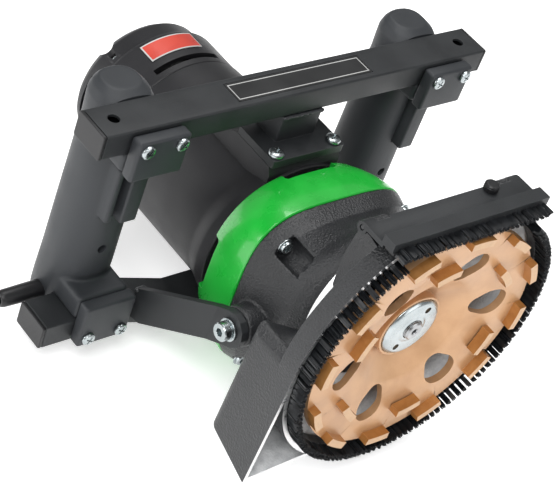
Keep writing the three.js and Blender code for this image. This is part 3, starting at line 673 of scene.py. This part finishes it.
def makeHood():
    h = hoodSet
    inside = h["rim"] - h["wall"]
    outerProfile = [(0, h["front"]), (h["rim"], h["front"]), (h["rim"], h["back"]),
                    (h["rim"] - 1.5, h["back"] + 0.3), (68, 24), (60, 28), (0, 28)]
    innerProfile = [(0, -20), (inside, -20), (inside, 5.5), (inside - 1.2, 7.2), (66, 20.5), (58, 24),
                    (0, 24)]
    outer = lambda: shape(addLathe, outerProfile, steps=h["steps"])
    inner = lambda: shape(addLathe, innerProfile, steps=h["steps"])
    full = [(0, -20), (h["rim"], -20)] + outerProfile[2:]
    hood = combine(outer(), [inner()])
    block = bmesh.new()
    addPlan(block, h["corner"], h["front"], h["ductBack"], "y")
    atBack = [e for e in block.edges if min(v.co.y for v in e.verts) > h["ductBack"] - 0.1
              and max(v.co.z for v in e.verts) < 5 and max(v.co.x for v in e.verts) < -50]
    roundEdges(block, atBack, 7, 6, clamp=False)
    along = [e for e in block.edges if abs(e.verts[0].co.y - e.verts[1].co.y) > 10 and e.verts[0].co.z > 2]
    roundEdges(block, along, 4, 5, clamp=False)
    corner = combine(solidOf(block), [inner(), hoodSlope(0)])
    hollow = shape(addPlan, h["hollow"], h["front"] - 1, h["ductBack"] - 3, "y")
    combine(hollow, [shape(addLathe, full, steps=h["steps"]), hoodSlope(3)])
    combine(hood, [corner], "UNION")
    combine(hood, [hollow])
    sx, sz = h["socket"]["at"]
    combine(hood, [
        shape(addRod, h["socket"]["radius"], h["ductBack"] - 10, h["ductBack"] + 5, place=(sx, 0, sz),
              steps=64),
        shape(addRod, 12, -40, 60, steps=64),
        shape(addBox, (-80, 80), (-30, 50), (h["chord"], 130)),
    ])
    extras = [shape(addBox, (-57.5, 57.5), (1.5, 20), (h["chord"] - 3, h["chord"]))]
    for side in (-1, 1):
        lug, span = h["lug"], across(side, h["lug"]["near"], h["lug"]["far"])
        piece = shape(addRod, lug["radius"], *span, place=(0, lug["y"], lug["z"]), axis="x", steps=40)
        combine(piece, [shape(addBox, span, (14, lug["y"] + 3), (h["chord"] - 3, h["chord"]))], "UNION")
        extras += [piece, shape(addPlan, h["web"], *across(side, 58, 62), "x")]
    combine(hood, extras, "UNION")
    combine(hood, [shape(addRod, lug["bore"], -60, 60, place=(0, lug["y"], lug["z"]), axis="x", steps=24)])

    def finishOf(normal, centre):
        if normal.y < -0.9 and centre.y < h["front"] + 0.4:
            return 1
        radius = math.hypot(centre.x, centre.z)
        facesIn = normal.x * centre.x + normal.z * centre.z < -0.3 * radius
        inDuct = radius > inside + 3 and h["ductBack"] - 2 > centre.y and insideDuct(centre.x, centre.z)
        inBowl = (59 < radius < inside + 0.3 and centre.y < 24.5
                  and (facesIn and centre.y < 8 or normal.y < -0.5))
        return 2 if inDuct or inBowl else 0

    finishPiece(hood, "dustHood", [castCoat, turnedAlloy, rawCast], ["hood"],
                bevel=0.5, angle=32, pick=finishOf)


makeHood()
print("hood ready")

# ---- bristles

bristleSet = {"seed": 7, "perTuft": 20, "thick": 0.34, "pitch": 4.6, "tip": -12.9, "root": 3.0}


def tuftMesh(seed, length, spread):
    maker = random.Random(seed)
    bm = bmesh.new()
    for k in range(bristleSet["perTuft"]):
        reach = length * maker.uniform(0.93, 1.0)
        foot = Vector((maker.uniform(-1, 1) * 1.45, 0, maker.uniform(-1, 1) * 0.9))
        lean = (Matrix.Rotation(maker.uniform(-spread, spread), 4, "X")
                @ Matrix.Rotation(maker.uniform(-spread, spread), 4, "Z"))
        up = (Matrix.Translation(foot) @ lean @ Matrix.Translation((0, -reach / 2, 0))
              @ Matrix.Rotation(math.pi / 2, 4, "X"))
        bmesh.ops.create_cone(bm, cap_ends=True, segments=3, radius1=bristleSet["thick"],
                              radius2=bristleSet["thick"] * 0.8, depth=reach, matrix=up)
    return meshOf(bm, "tuft")


def addTuft(bm, tuft, matrix):
    start = len(bm.verts)
    bm.from_mesh(tuft)
    bm.verts.ensure_lookup_table()
    bmesh.ops.transform(bm, matrix=matrix, verts=bm.verts[start:])


def tuftKinds(firstSeed, spread):
    length = bristleSet["root"] - bristleSet["tip"]
    return [tuftMesh(firstSeed + k, length, spread) for k in range(5)]


def makeBrushRing():
    maker = random.Random(bristleSet["seed"])
    tufts = tuftKinds(0, 0.025)
    bm = bmesh.new()
    for radius in (98.6, 100.4, 102.1):
        count = int(2 * math.pi * 100 / bristleSet["pitch"])
        for k in range(count):
            degrees = 360 * k / count
            x, y, z = atAngle(radius, degrees, bristleSet["root"])
            if z > 82.5:
                continue
            turn = Matrix.Rotation(math.radians(90 - degrees) + maker.choice((0, math.pi)), 4, "Y")
            addTuft(bm, tufts[maker.randrange(5)], Matrix.Translation((x, y, z)) @ turn)
    finishPiece(objectOf(bm, "hoodBristles"), "hoodBristles", bristleNylon, ["brush_ring"])
    strip = shape(addLathe, [(97.5, -1.5), (97.5, 6), (103.2, 6), (103.2, -1.5), (102.6, -2), (98, -2)],
                  steps=144)
    combine(strip, [shape(addBox, (-90, 90), (-30, 20), (85, 130))])
    finishPiece(strip, "bristleStrip", plugPlastic, ["brush_ring"], bevel=0.3)


def makeFlapBrush():
    maker = random.Random(bristleSet["seed"] + 1)
    tufts = tuftKinds(20, 0.03)
    bm = bmesh.new()
    for row, z in enumerate((92.8, 95.4)):
        count = int(129 / bristleSet["pitch"])
        for k in range(count):
            x = -64.5 + 129 * (k + 0.25 + 0.5 * row) / count
            turn = Matrix.Rotation(maker.choice((0, math.pi)), 4, "Y")
            addTuft(bm, tufts[maker.randrange(5)], Matrix.Translation((x, bristleSet["root"], z)) @ turn)
    finishPiece(objectOf(bm, "flapBristles"), "flapBristles", bristleNylon, ["flap_brush"],
                body="hood_flap")
    strip = shape(addBox, (-66, 66), (-4.3, 3.6), (91.5, 93.6), bevel=0.4)
    finishPiece(strip, "flapBristleStrip", plugPlastic, ["flap_brush"], body="hood_flap")


makeBrushRing()
makeFlapBrush()
print("bristles ready")

# ---- folding flap, pins and latch knob

flapPiece = copyOf("flap", "flapPlate")
finishPiece(flapPiece, "flapPlate", framePaint, ["flap"], body="hood_flap", bevel=0.5,
    angle=40, segments=3)
for side in ("left", "right"):
    low, high = mmBox(f"hinge_pin_{side}")
    axle = (0, (low.y + high.y) / 2, (low.z + high.z) / 2)
    pin = shape(addRod, 1.5, low.x, high.x, place=axle, axis="x", steps=32, chamfer=0.3)
    finishPiece(pin, f"hingePin.{side}", weldSteel, [f"hinge_pin_{side}"])

knobSet = {
    "profile": [(0, 91.9), (3, 91.9), (3, 95.5), (4.7, 95.5), (5, 95.9), (5, 98.4), (4.6, 98.8), (5, 99.0),
                (4.9, 99.6), (4.2, 100.3), (2.5, 100.5), (0, 100.3)],
    "flutes": 14, "fluteAt": 5.15, "fluteRadius": 0.5,
}
knobAt = (*mmMiddle("flap_latch").xy, 0)
knob = shape(addLathe, knobSet["profile"], place=knobAt, axis="z", steps=72)
flutes = []
for k in range(knobSet["flutes"]):
    turn = 2 * math.pi * k / knobSet["flutes"]
    reach = knobSet["fluteAt"]
    spot = (knobAt[0] + reach * math.cos(turn), knobAt[1] + reach * math.sin(turn), 0)
    flutes.append(shape(addRod, knobSet["fluteRadius"], 95, 98.2, place=spot, axis="z", steps=12))
finishPiece(combine(knob, flutes), "latchKnob", plugPlastic, ["flap_latch"],
    body="latch_knob")
print("flap ready")

# ---- neck collar and gear head

collarProfile = [(12, 28.3), (57.6, 28.3), (58.6, 28.6), (61.6, 29.9), (62, 30.4), (62, 32.6), (61.3, 33.0),
                 (61.3, 33.6), (62, 34.0), (62, 37.4), (61.7, 37.7), (12, 37.7)]
finishPiece(shape(addLathe, collarProfile, steps=144), "neckCollar", turnedAlloy, ["neck_collar"])

headSet = {
    "motorZ": -34.5, "voxel": 1.0, "rounds": 4,
    "rings": [(38, 0, 50, 0), (46, -3, 55, 0), (54, -11, 59.5, 0.8), (62, -20, 63, 2), (71, -28, 67.4, 3.5),
              (80, -34.5, 71, 5), (94.5, -34.5, 74, 6)],
    "screwAt": 51.9, "screwHole": 2.8, "pocket": 8.5, "pocketSteps": (0, 5, 10),
    "boss": {"radius": 14, "reach": 77.9, "at": (0, 74.3, -38.9), "hole": 4.3},
}


# a rounded square: flats at radius - bulge, corners at radius + bulge
def lobedRing(y, z, radius, bulge, count=96):
    power = 1 / (0.5 - math.log2((radius + bulge) / (radius - bulge)))
    points = []
    for k in range(count):
        angle = 2 * math.pi * k / count
        c, s = math.cos(angle), math.sin(angle)
        reach = (radius - bulge) * (abs(c) ** power + abs(s) ** power) ** (-1 / power)
        points.append((reach * c, y, z + reach * s))
    return points


def makeHead():
    h, boss, mz = headSet, headSet["boss"], headSet["motorZ"]
    head = shape(addLoft, [lobedRing(*ring) for ring in h["rings"]])

    def rodAt(side, up, reach, radius, low, high, steps):
        return shape(addRod, radius, low, high, place=(side * reach, 0, mz + up * reach), steps=steps)
    for side in (-1, 1):
        arm = shape(addRod, boss["radius"], *across(side, 40, boss["reach"]), place=boss["at"], axis="x",
                    steps=64)
        combine(head, [arm], "UNION")
        for up in (-1, 1):
            for step in h["pocketSteps"]:
                combine(head, [rodAt(side, up, h["screwAt"] + step, h["pocket"], 61, 83, 48)])
    melt(head, h["voxel"], h["rounds"])
    combine(head, [
        shape(addRod, 20.3, 30, 52.3, steps=64),
        shape(addRod, 31, 52, 76, steps=64),
        shape(addRod, 13, 52, 76, place=(0, 0, mz), steps=48),
        shape(addRod, 61, 76, 100, place=(0, 0, mz), steps=96),
    ])
    for side in (-1, 1):
        combine(head, [
            shape(addRod, boss["hole"], *across(side, 60, 90), place=boss["at"], axis="x", steps=32)])
        for up in (-1, 1):
            combine(head, [rodAt(side, up, h["screwAt"], h["screwHole"], 78, 100, 24)])
    finishPiece(head, "gearHead", castCoat, ["gear_head"], angle=50)


makeHead()
print("gear head ready")

# ---- screws

screwSet = {"cross": 0.9, "crossReach": 0.62, "crossDepth": 2.0}


# its seat at place, with a cross recess; towards is 1 or -1
def panHead(radius, height, place, axis, towards):
    r, h = radius, height * towards
    dome = [(0, 0), (r * 0.96, 0), (r, h * 0.12), (r, h * 0.45), (r * 0.94, h * 0.72), (r * 0.74, h * 0.93),
            (r * 0.45, h), (0, h)]
    head = shape(addLathe, dome, axis="z", steps=48)
    low, high = sorted((h * 1.1, h - towards * min(screwSet["crossDepth"], height * 0.7)))
    reach, wide = radius * screwSet["crossReach"], screwSet["cross"]
    combine(head, [shape(addBox, (-reach, reach), (-wide / 2, wide / 2), (low, high)),
                   shape(addBox, (-wide / 2, wide / 2), (-reach, reach), (low, high))])
    head.data.transform(Matrix.Translation(place) @ axisTurn[axis] @ Matrix.Rotation(0.5, 4, "Z"))
    return head


def socketHead(x, z):  # hexagon socket head on a washer, its seat at y 82.7 and the shank going back
    outline = [(0, 79.4), (3.9, 79.4), (4.4, 79.8), (4.4, 81.8), (5.3, 81.8), (5.6, 82.0), (5.6, 82.7),
               (2.3, 82.7), (2.3, 91.3), (0, 91.3)]
    head = shape(addLathe, outline, place=(x, 0, z), steps=48)
    return combine(head, [shape(addRod, 2.5, 78, 81.6, place=(x, 0, z), steps=6)])


for side in ("left", "right"):
    for level in ("upper", "lower"):
        middle = mmMiddle(f"head_screw_{level}_{side}")
        screw = socketHead(middle.x, middle.z)
        finishPiece(screw, f"headScrew.{level}.{side}", brightZinc, [f"head_screw_{level}_{side}"],
                    bevel=0.15)
    low, high = mmBox(f"foot_screw_{side}")
    screw = panHead(5.4, high.z - low.z, (*mmMiddle(f"foot_screw_{side}").xy, low.z), "z", 1)
    finishPiece(screw, f"footScrew.{side}", brightZinc, [f"foot_screw_{side}"], bevel=0.15)
    middle = mmMiddle(f"cap_screw_{side}")
    screw = panHead(4.6, 3.6, (middle.x, mmBox(f"cap_screw_{side}")[0].y, middle.z), "y", 1)
    finishPiece(screw, f"capScrew.{side}", brightZinc, [f"cap_screw_{side}"], bevel=0.15)
print("screws ready")

# ---- trim ring

ringSet = {
    "stations": [(94.8, 73.2, 6), (95.6, 74, 6), (103, 73.7, 5.6), (112, 72.5, 5), (121, 70.3, 4),
                 (129.4, 67.4, 2.6), (130.7, 66.6, 2.5)],
    "slot": (44, 10, 50), "slotAt": (130, 78),
}


def makeTrimRing():
    mz = headSet["motorZ"]
    ring = shape(addLoft, [lobedRing(y, mz, radius, bulge, 128) for y, radius, bulge in ringSet["stations"]])
    cutters = [shape(addRod, 62, 80, 140, place=(0, 0, mz), steps=128)]
    sx, sy, sz = ringSet["slot"]
    y, z = ringSet["slotAt"]
    for k in range(4):
        slot = shape(addBox, (-sx / 2, sx / 2), (y - sy / 2, y + sy / 2), (z - sz / 2, z + sz / 2), bevel=2,
                     edgeAxis=2)
        slot.data.transform(Matrix.Translation((0, 0, mz)) @ Matrix.Rotation(k * math.pi / 2, 4, "Y"))
        cutters.append(slot)
    combine(ring, cutters)
    finishPiece(ring, "trimRing", trimGreen, ["trim_ring"], bevel=0.6, angle=40, segments=3)


makeTrimRing()
print("trim ring ready")

# ---- motor housing and rear cap

motorSet = {
    "housing": [(56, 131), (63.0, 131), (63.6, 131.6), (63.6, 139), (63.2, 141), (62, 145), (60.8, 149),
                (60, 153), (60, 224), (59.4, 232), (58, 253.2), (57.2, 254), (54, 254), (56, 240)],
    "cap": [(0, 314), (43.2, 314), (46.5, 313.2), (49, 311), (52.2, 307.2), (53, 305.4), (54, 293.8),
            (54.6, 292.8), (56.8, 290.8), (57.5, 289), (57.5, 255), (57, 254.3), (53.5, 254.3), (53.5, 287),
            (50, 291), (48, 303), (45, 309), (0, 309)],
    "pedestal": [(133, 0), (133, 28), (136, 34), (172, 34), (184, 29), (222, 24), (222, 0)],
    "vents": 7, "ventPitch": 9,
    "plate": {"inner": 57.8, "outer": 58.3, "y": (271, 287), "turn": (75, 118), "border": 1},
}


def wedge(low, high, start, end):
    mz = headSet["motorZ"]
    arc = [atAngle(90, start + (end - start) * k / 8, 0, mz) for k in range(9)]
    return shape(addPlan, [(0, mz)] + [(p[0], p[2]) for p in arc], low, high, "y")


def makeMotor():
    m, mz = motorSet, headSet["motorZ"]
    at = (0, 0, mz)
    housing = shape(addLathe, m["housing"], place=at, steps=128)
    block = shape(addPlan, m["pedestal"], -31, 31, "x")
    combine(block, [shape(addRod, 58, 100, 240, place=at, steps=128)])
    combine(housing, [block], "UNION")
    wall = shape(addLathe, [(11.3, 236), (11.3, 252), (20, 252), (20, 242.7), (56.5, 242.7), (56.5, 236)],
                 place=at, steps=96)
    combine(housing, [wall], "UNION")
    finishPiece(housing, "motorHousing", motorPlastic, ["motor_housing"], bevel=0.9,
                angle=34, segments=3)
    cap = shape(addLathe, m["cap"], place=at, steps=128)
    cutters = [wedge(259.5, 264.5, 66, 122), wedge(294, 302, 158, 202), wedge(294, 302, -22, 22)]
    for k in range(m["vents"]):
        z = mz + (k - 3) * m["ventPitch"]
        cutters.append(shape(addBox, (-30, 30), (304, 319), (z - 1.6, z + 1.6), bevel=1.5, edgeAxis=1))
    combine(cap, cutters)
    for side in (-1, 1):
        x, z = side * 34, mz + 33
        boss = shape(addRod, 7.6, 282, 296, place=(x, 0, z), steps=48)
        combine(boss, [shape(addRod, 54.5, 200, 330, place=at, steps=96)], "INTERSECT")
        combine(cap, [shape(addRod, 6.5, 296, 330, place=(x, 0, z), steps=48)])
        combine(cap, [boss], "UNION")
    finishPiece(cap, "rearCap", motorPlastic, ["rear_cap"], bevel=0.6, angle=34)
    makeRatingPlate()


def makeRatingPlate():
    p, mz = motorSet["plate"], headSet["motorZ"]
    (low, high), (start, end), edge = p["y"], p["turn"], p["border"]
    outline = [(p["inner"], low), (p["inner"], high), (p["outer"], high), (p["outer"], low)]
    plate = shape(addLathe, outline, place=(0, 0, mz), steps=200)
    combine(plate, [wedge(low - 11, high + 3, start, end)], "INTERSECT")
    cutAlong(plate, 1, (low + edge, high - edge))

    def plateFinish(normal, centre):
        turn = math.degrees(math.atan2(centre.z - mz, centre.x))
        onFace = math.hypot(centre.x, centre.z - mz) > 58.1
        return 1 if onFace and low + 0.9 < centre.y < high - 0.9 and start + 1 < turn < end - 1 else 0
    finishPiece(plate, "ratingPlate", [labelInk, plateInk], ["rating_plate"], pick=plateFinish)


makeMotor()
print("motor ready")

# ---- upper crossbar with plugs, foot and label

barSet = {"wall": 2, "corner": 1.6, "hole": {"x": 149, "radius": 4}, "labelBed": 0.8, "labelLine": (1.6, 2.3)}


def weldBead(name, points, radius):  # overlapping lumps along a line, melted together
    maker = random.Random(3)
    bm = bmesh.new()
    for start, end in zip(points, points[1:]):
        start, end = Vector(start), Vector(end)
        count = max(2, int((end - start).length / (radius * 0.75)))
        for k in range(count):
            spot = (start.lerp(end, (k + 0.5) / count)
                    + Vector([maker.uniform(-0.15, 0.15) for axis in range(3)]))
            size = radius * maker.uniform(0.9, 1.1)
            bmesh.ops.create_icosphere(bm, subdivisions=2, radius=size, matrix=Matrix.Translation(spot))
    finishPiece(melt(solidOf(bm), 0.35, 3), name, weldSteel, [], angle=60)


def makeUpperBar():
    low, high = mmBox("top_tube")
    labelLow, labelHigh = mmBox("bar_label")
    wall, hole = barSet["wall"], barSet["hole"]
    bar = shape(addBox, (low.x, high.x), (low.y, high.y), (low.z, high.z), bevel=barSet["corner"], edgeAxis=0)
    middle = (low.y + high.y) / 2 + 0.5
    cutters = [shape(addBox, (low.x - 5, high.x + 5), (low.y + wall, high.y - wall),
                     (low.z + wall, high.z - wall), bevel=0.8, edgeAxis=0)]
    for side in (-1, 1):
        cutters.append(shape(addRod, hole["radius"], high.z - 5, high.z + 5,
                             place=(side * hole["x"], middle, 0), axis="z", steps=40))
    cutters.append(shape(addBox, (labelLow.x - 0.3, labelHigh.x + 0.3), (labelLow.y - 0.3, labelHigh.y + 0.3),
                         (high.z - barSet["labelBed"], high.z + 5)))
    finishPiece(combine(bar, cutters), "upperBar", framePaint, ["top_tube"], bevel=0.2)
    footTop = mmBox("bar_foot")[1].z
    foot = shape(addBox, (-31, 31), (133, 172), (34.3, 40), bevel=1.4, edgeAxis=2)
    combine(foot, [shape(addBox, (-17, 17), (150, 172), (38, footTop), bevel=1.2, edgeAxis=2)], "UNION")
    finishPiece(foot, "barFoot", framePaint, ["bar_foot"], bevel=0.5)
    weldBead("footWeld", [(-17, 149.6, 60.2), (17, 149.6, 60.2)], 1.5)


def makeLabel():  # a blank dark plate with a thin pale line just inside its edge
    low, high = mmBox("bar_label")
    near, far = barSet["labelLine"]
    label = shape(addBox, (low.x, high.x), (low.y, high.y), (low.z, high.z), bevel=1.2, edgeAxis=2)
    for axis in (0, 1):
        start, end = low[axis], high[axis]
        cutAlong(label, axis, (start + near, start + far, end - far, end - near))

    def labelFinish(normal, centre):
        inset = min(centre.x - low.x, high.x - centre.x, centre.y - low.y, high.y - centre.y)
        return 1 if normal.z > 0.9 and near < inset < far else 0
    finishPiece(label, "barLabel", [labelFilm, labelInk], ["bar_label"], pick=labelFinish)


def makePlug(name, node):
    low, high = mmBox(node)
    outward = 1 if low.x > 0 else -1
    lid = (high.x - 2.3, high.x) if outward > 0 else (low.x, low.x + 2.3)
    stub = (low.x, high.x - 2) if outward > 0 else (low.x + 2, high.x)
    plug = shape(addBox, lid, (low.y, high.y), (low.z, high.z), bevel=1.4, edgeAxis=0)
    inset = barSet["wall"] + 0.3
    combine(plug, [shape(addBox, stub, (low.y + inset, high.y - inset), (low.z + inset, high.z - inset))],
            "UNION")
    finishPiece(plug, name, plugPlastic, [node], bevel=0.7, segments=3)


makeUpperBar()
makeLabel()
for side in ("left", "right"):
    makePlug(f"upperPlug.{side}", f"top_plug_{side}")
    makePlug(f"lowerPlug.{side}", f"lower_plug_{side}")
print("upper crossbar ready")

# ---- lower crossbar, struts and their bolts

finishPiece(copyOf("lower_tube", "lowerBar"), "lowerBar", framePaint, ["lower_tube"],
            bevel=1.3, angle=20, segments=3)
boltSet = {"x": 84.3, "y": 74.3, "z": -38.9, "head": 6.5, "socket": 3.1}


def makeStrut(side):
    name = "right" if side > 0 else "left"
    finishPiece(copyOf(f"strut_{name}", f"strut.{name}"), f"strut.{name}", framePaint, [f"strut_{name}"],
                bevel=0.7, angle=28)
    seam = [(side * 91.6, 149.2, -92), (side * 91.6, 149.2, -69), (side * 98.4, 149.2, -69)]
    weldBead(f"strutWeld.{name}", seam, 1.9)
    b = boltSet
    profile = [(0, 0), (7.7, 0), (8, 0.3), (8, 1.3), (7.7, 1.6), (6.1, 1.6), (6.5, 2.0), (6.5, 7.2),
               (5.9, 8), (0, 8)]
    bolt = shape(addLathe, profile, axis="z", steps=64)
    combine(bolt, [shape(addRod, b["socket"], 3, 12, axis="z", steps=6)])
    combine(bolt, [shape(addRod, 4, -20.3, 0.5, axis="z", steps=40)], "UNION")
    turn = axisTurn["x"] if side > 0 else Matrix.Rotation(math.pi, 4, "Z") @ axisTurn["x"]
    bolt.data.transform(Matrix.Translation((side * b["x"], b["y"], b["z"])) @ turn)
    finishPiece(bolt, f"strutBolt.{name}", brightZinc, [f"strut_bolt_{name}"], bevel=0.2)


makeStrut(-1)
makeStrut(1)
print("lower crossbar and struts ready")

# ---- grips with their clamps and triggers

gripSet = {
    "x": 124.5, "y": 187, "radius": 22.5, "low": -103, "top": 83, "voxel": 1.1, "rounds": 4, "power": 0.86,
    "clampHalf": 20, "screwShift": 13, "paddle": {"x": (-2, 11), "y": (155, 172), "z": (-6, 40)},
    "holeShift": 1.3, "holeZ": -35.5,
}


def gripRing(z, x, y, halfX, halfY, count=48):
    points = []
    for k in range(count):
        angle = 2 * math.pi * (k + 0.5) / count
        c, s = math.cos(angle), math.sin(angle)
        points.append((x + halfX * math.copysign(abs(c) ** gripSet["power"], c),
                       y + halfY * math.copysign(abs(s) ** gripSet["power"], s), z))
    return points


def makeGrip(side):
    g = gripSet
    x, y, r = side * g["x"], g["y"], g["radius"]
    name = "right" if side > 0 else "left"
    grip = shape(addLoft, [
        gripRing(g["low"] + 0.2, x, y + 7, r - 8, r - 10), gripRing(g["low"] + 3, x, y + 5.5, r - 4, r - 5.5),
        gripRing(g["low"] + 8, x, y + 4, r - 1, r - 2), gripRing(-80, x, y + 2, r, r - 0.5),
        gripRing(-58, x, y, r, r + 1), gripRing(0, x, y, r - 0.5, r + 0.5),
        gripRing(56, x, y, r - 1, r), gripRing(66, x, y + 1.2, r - 1, r - 0.8),
        gripRing(74, x, y + 3, r - 1.6, r - 2.4), gripRing(79, x, y + 5, r - 4.2, r - 5.6),
        gripRing(g["top"] - 0.2, x, y + 8, r - 9, r - 11),
    ])
    barLow, lowTop = mmBox("top_tube")[0].z, mmBox("lower_tube")[1].z
    front = mmBox("top_tube")[0].y
    for low, high in ((46, barLow - 0.3), (lowTop + 0.3, -64)):
        block = shape(addBox, (x - g["clampHalf"], x + g["clampHalf"]), (front, y - 10), (low, high), bevel=3)
        combine(grip, [block], "UNION")
    if side < 0:
        rib = shape(addBox, (x - 12.3, x - 6.7), (158, 174), (-6, 40), bevel=1.5)
        combine(grip, [rib], "UNION")
    melt(grip, g["voxel"], g["rounds"])
    barBack = mmBox("top_tube")[1].y
    lowLow = lowTop - 18.5
    px, pz = g["paddle"]["x"], g["paddle"]["z"]
    combine(grip, [
        shape(addBox, (x - 60, x + 60), (100, barBack + 0.3), (barLow - 0.3, 95)),
        shape(addBox, (x - 60, x + 60), (100, barBack + 0.3), (lowLow - 10, lowTop + 0.3)),
        shape(addBox, (x + px[0] - 0.3, x + px[1] + 0.3), (150, y - 3), (pz[0] - 0.3, pz[1] + 0.3)),
        shape(addBox, (x - 13, x + 14), (y - 9, y + 14), (pz[0] - 3, pz[1] + 3), bevel=2),
        shape(addRod, 3.4, y - 60, y - 14, place=(x + side * g["holeShift"], 0, g["holeZ"]), steps=32),
    ])
    finishPiece(grip, f"grip.{name}", gripPlastic, [f"grip_{name}"], angle=45)
    screw = panHead(3.1, 2.0, (x + side * g["holeShift"], y - 15.5, g["holeZ"]), "y", -1)
    finishPiece(screw, f"gripScrew.{name}", brightZinc, [])
    for level, node in (("top", f"clamp_top_{name}"), ("low", f"clamp_low_{name}")):
        low, high = mmBox(node)
        screwZ = 70.45 if level == "top" else lowTop - 9.25
        block = shape(addBox, (x - g["clampHalf"], x + g["clampHalf"]), (140, high.y), (low.z, high.z),
                      bevel=2.2, segments=4)
        finishPiece(block, f"clamp.{level}.{name}", gripPlastic, [node])
        for shift in (-1, 1):
            head = panHead(4.8, 3.0, (x + shift * g["screwShift"], 140, screwZ), "y", -1)
            finishPiece(head, f"clampScrew.{level}.{name}.{'b' if shift > 0 else 'a'}", brightZinc, [],
                        bevel=0.15)
    paddle = shape(addBox, (x + px[0], x + px[1]), g["paddle"]["y"], pz, bevel=1.6, segments=4)
    finishPiece(paddle, f"trigger.{name}", gripPlastic, [f"trigger_{name}"],
                body=f"{name}_trigger")


makeGrip(-1)
makeGrip(1)

sleeveSet = {"start": -133.5, "end": -178, "y": 189, "z": -88, "bore": 3.6}


def makeSleeve():
    s = sleeveSet
    length = s["start"] - s["end"]
    profile = [(s["bore"], 0), (6.5, 0), (6.5, 12), (6.3, length * 0.6), (6.0, length - 3.2),
               (5.7, length - 1.3), (5.0, length - 0.2), (4.5, length), (s["bore"], length)]
    sleeve = shape(addLathe, profile, axis="z", steps=64)
    turned = Matrix.Rotation(math.pi, 4, "Z") @ axisTurn["x"]
    sleeve.data.transform(Matrix.Translation((s["start"], s["y"], s["z"])) @ turned)
    finishPiece(sleeve, "cordSleeve", plugPlastic, ["cord_sleeve"], bevel=0.2)


makeSleeve()
print("grips ready")

# ---- inner pieces keep their CAD shape and get their own finish

innerLooks = {
    "spindle_gear": toolSteel, "support_flange": toolSteel,
    "spindle_front_bearing": toolSteel, "spindle_rear_bearing": toolSteel,
    "rotor_shaft": motorSteel, "rotor_front_bearing": motorSteel, "rotor_rear_bearing": motorSteel,
    "bearing_plate": rawCast, "stator": windingCopper, "armature": windingCopper,
    "brush_holder_left": holderBrass, "brush_holder_right": holderBrass,
    "fan": plugPlastic, "switch_block_left": plugPlastic, "switch_block_right": plugPlastic,
}
for node, look in innerLooks.items():
    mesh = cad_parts[node].data
    mesh.materials.clear()
    mesh.materials.append(look)
print("inner pieces ready")

bpy.context.view_layer.update()
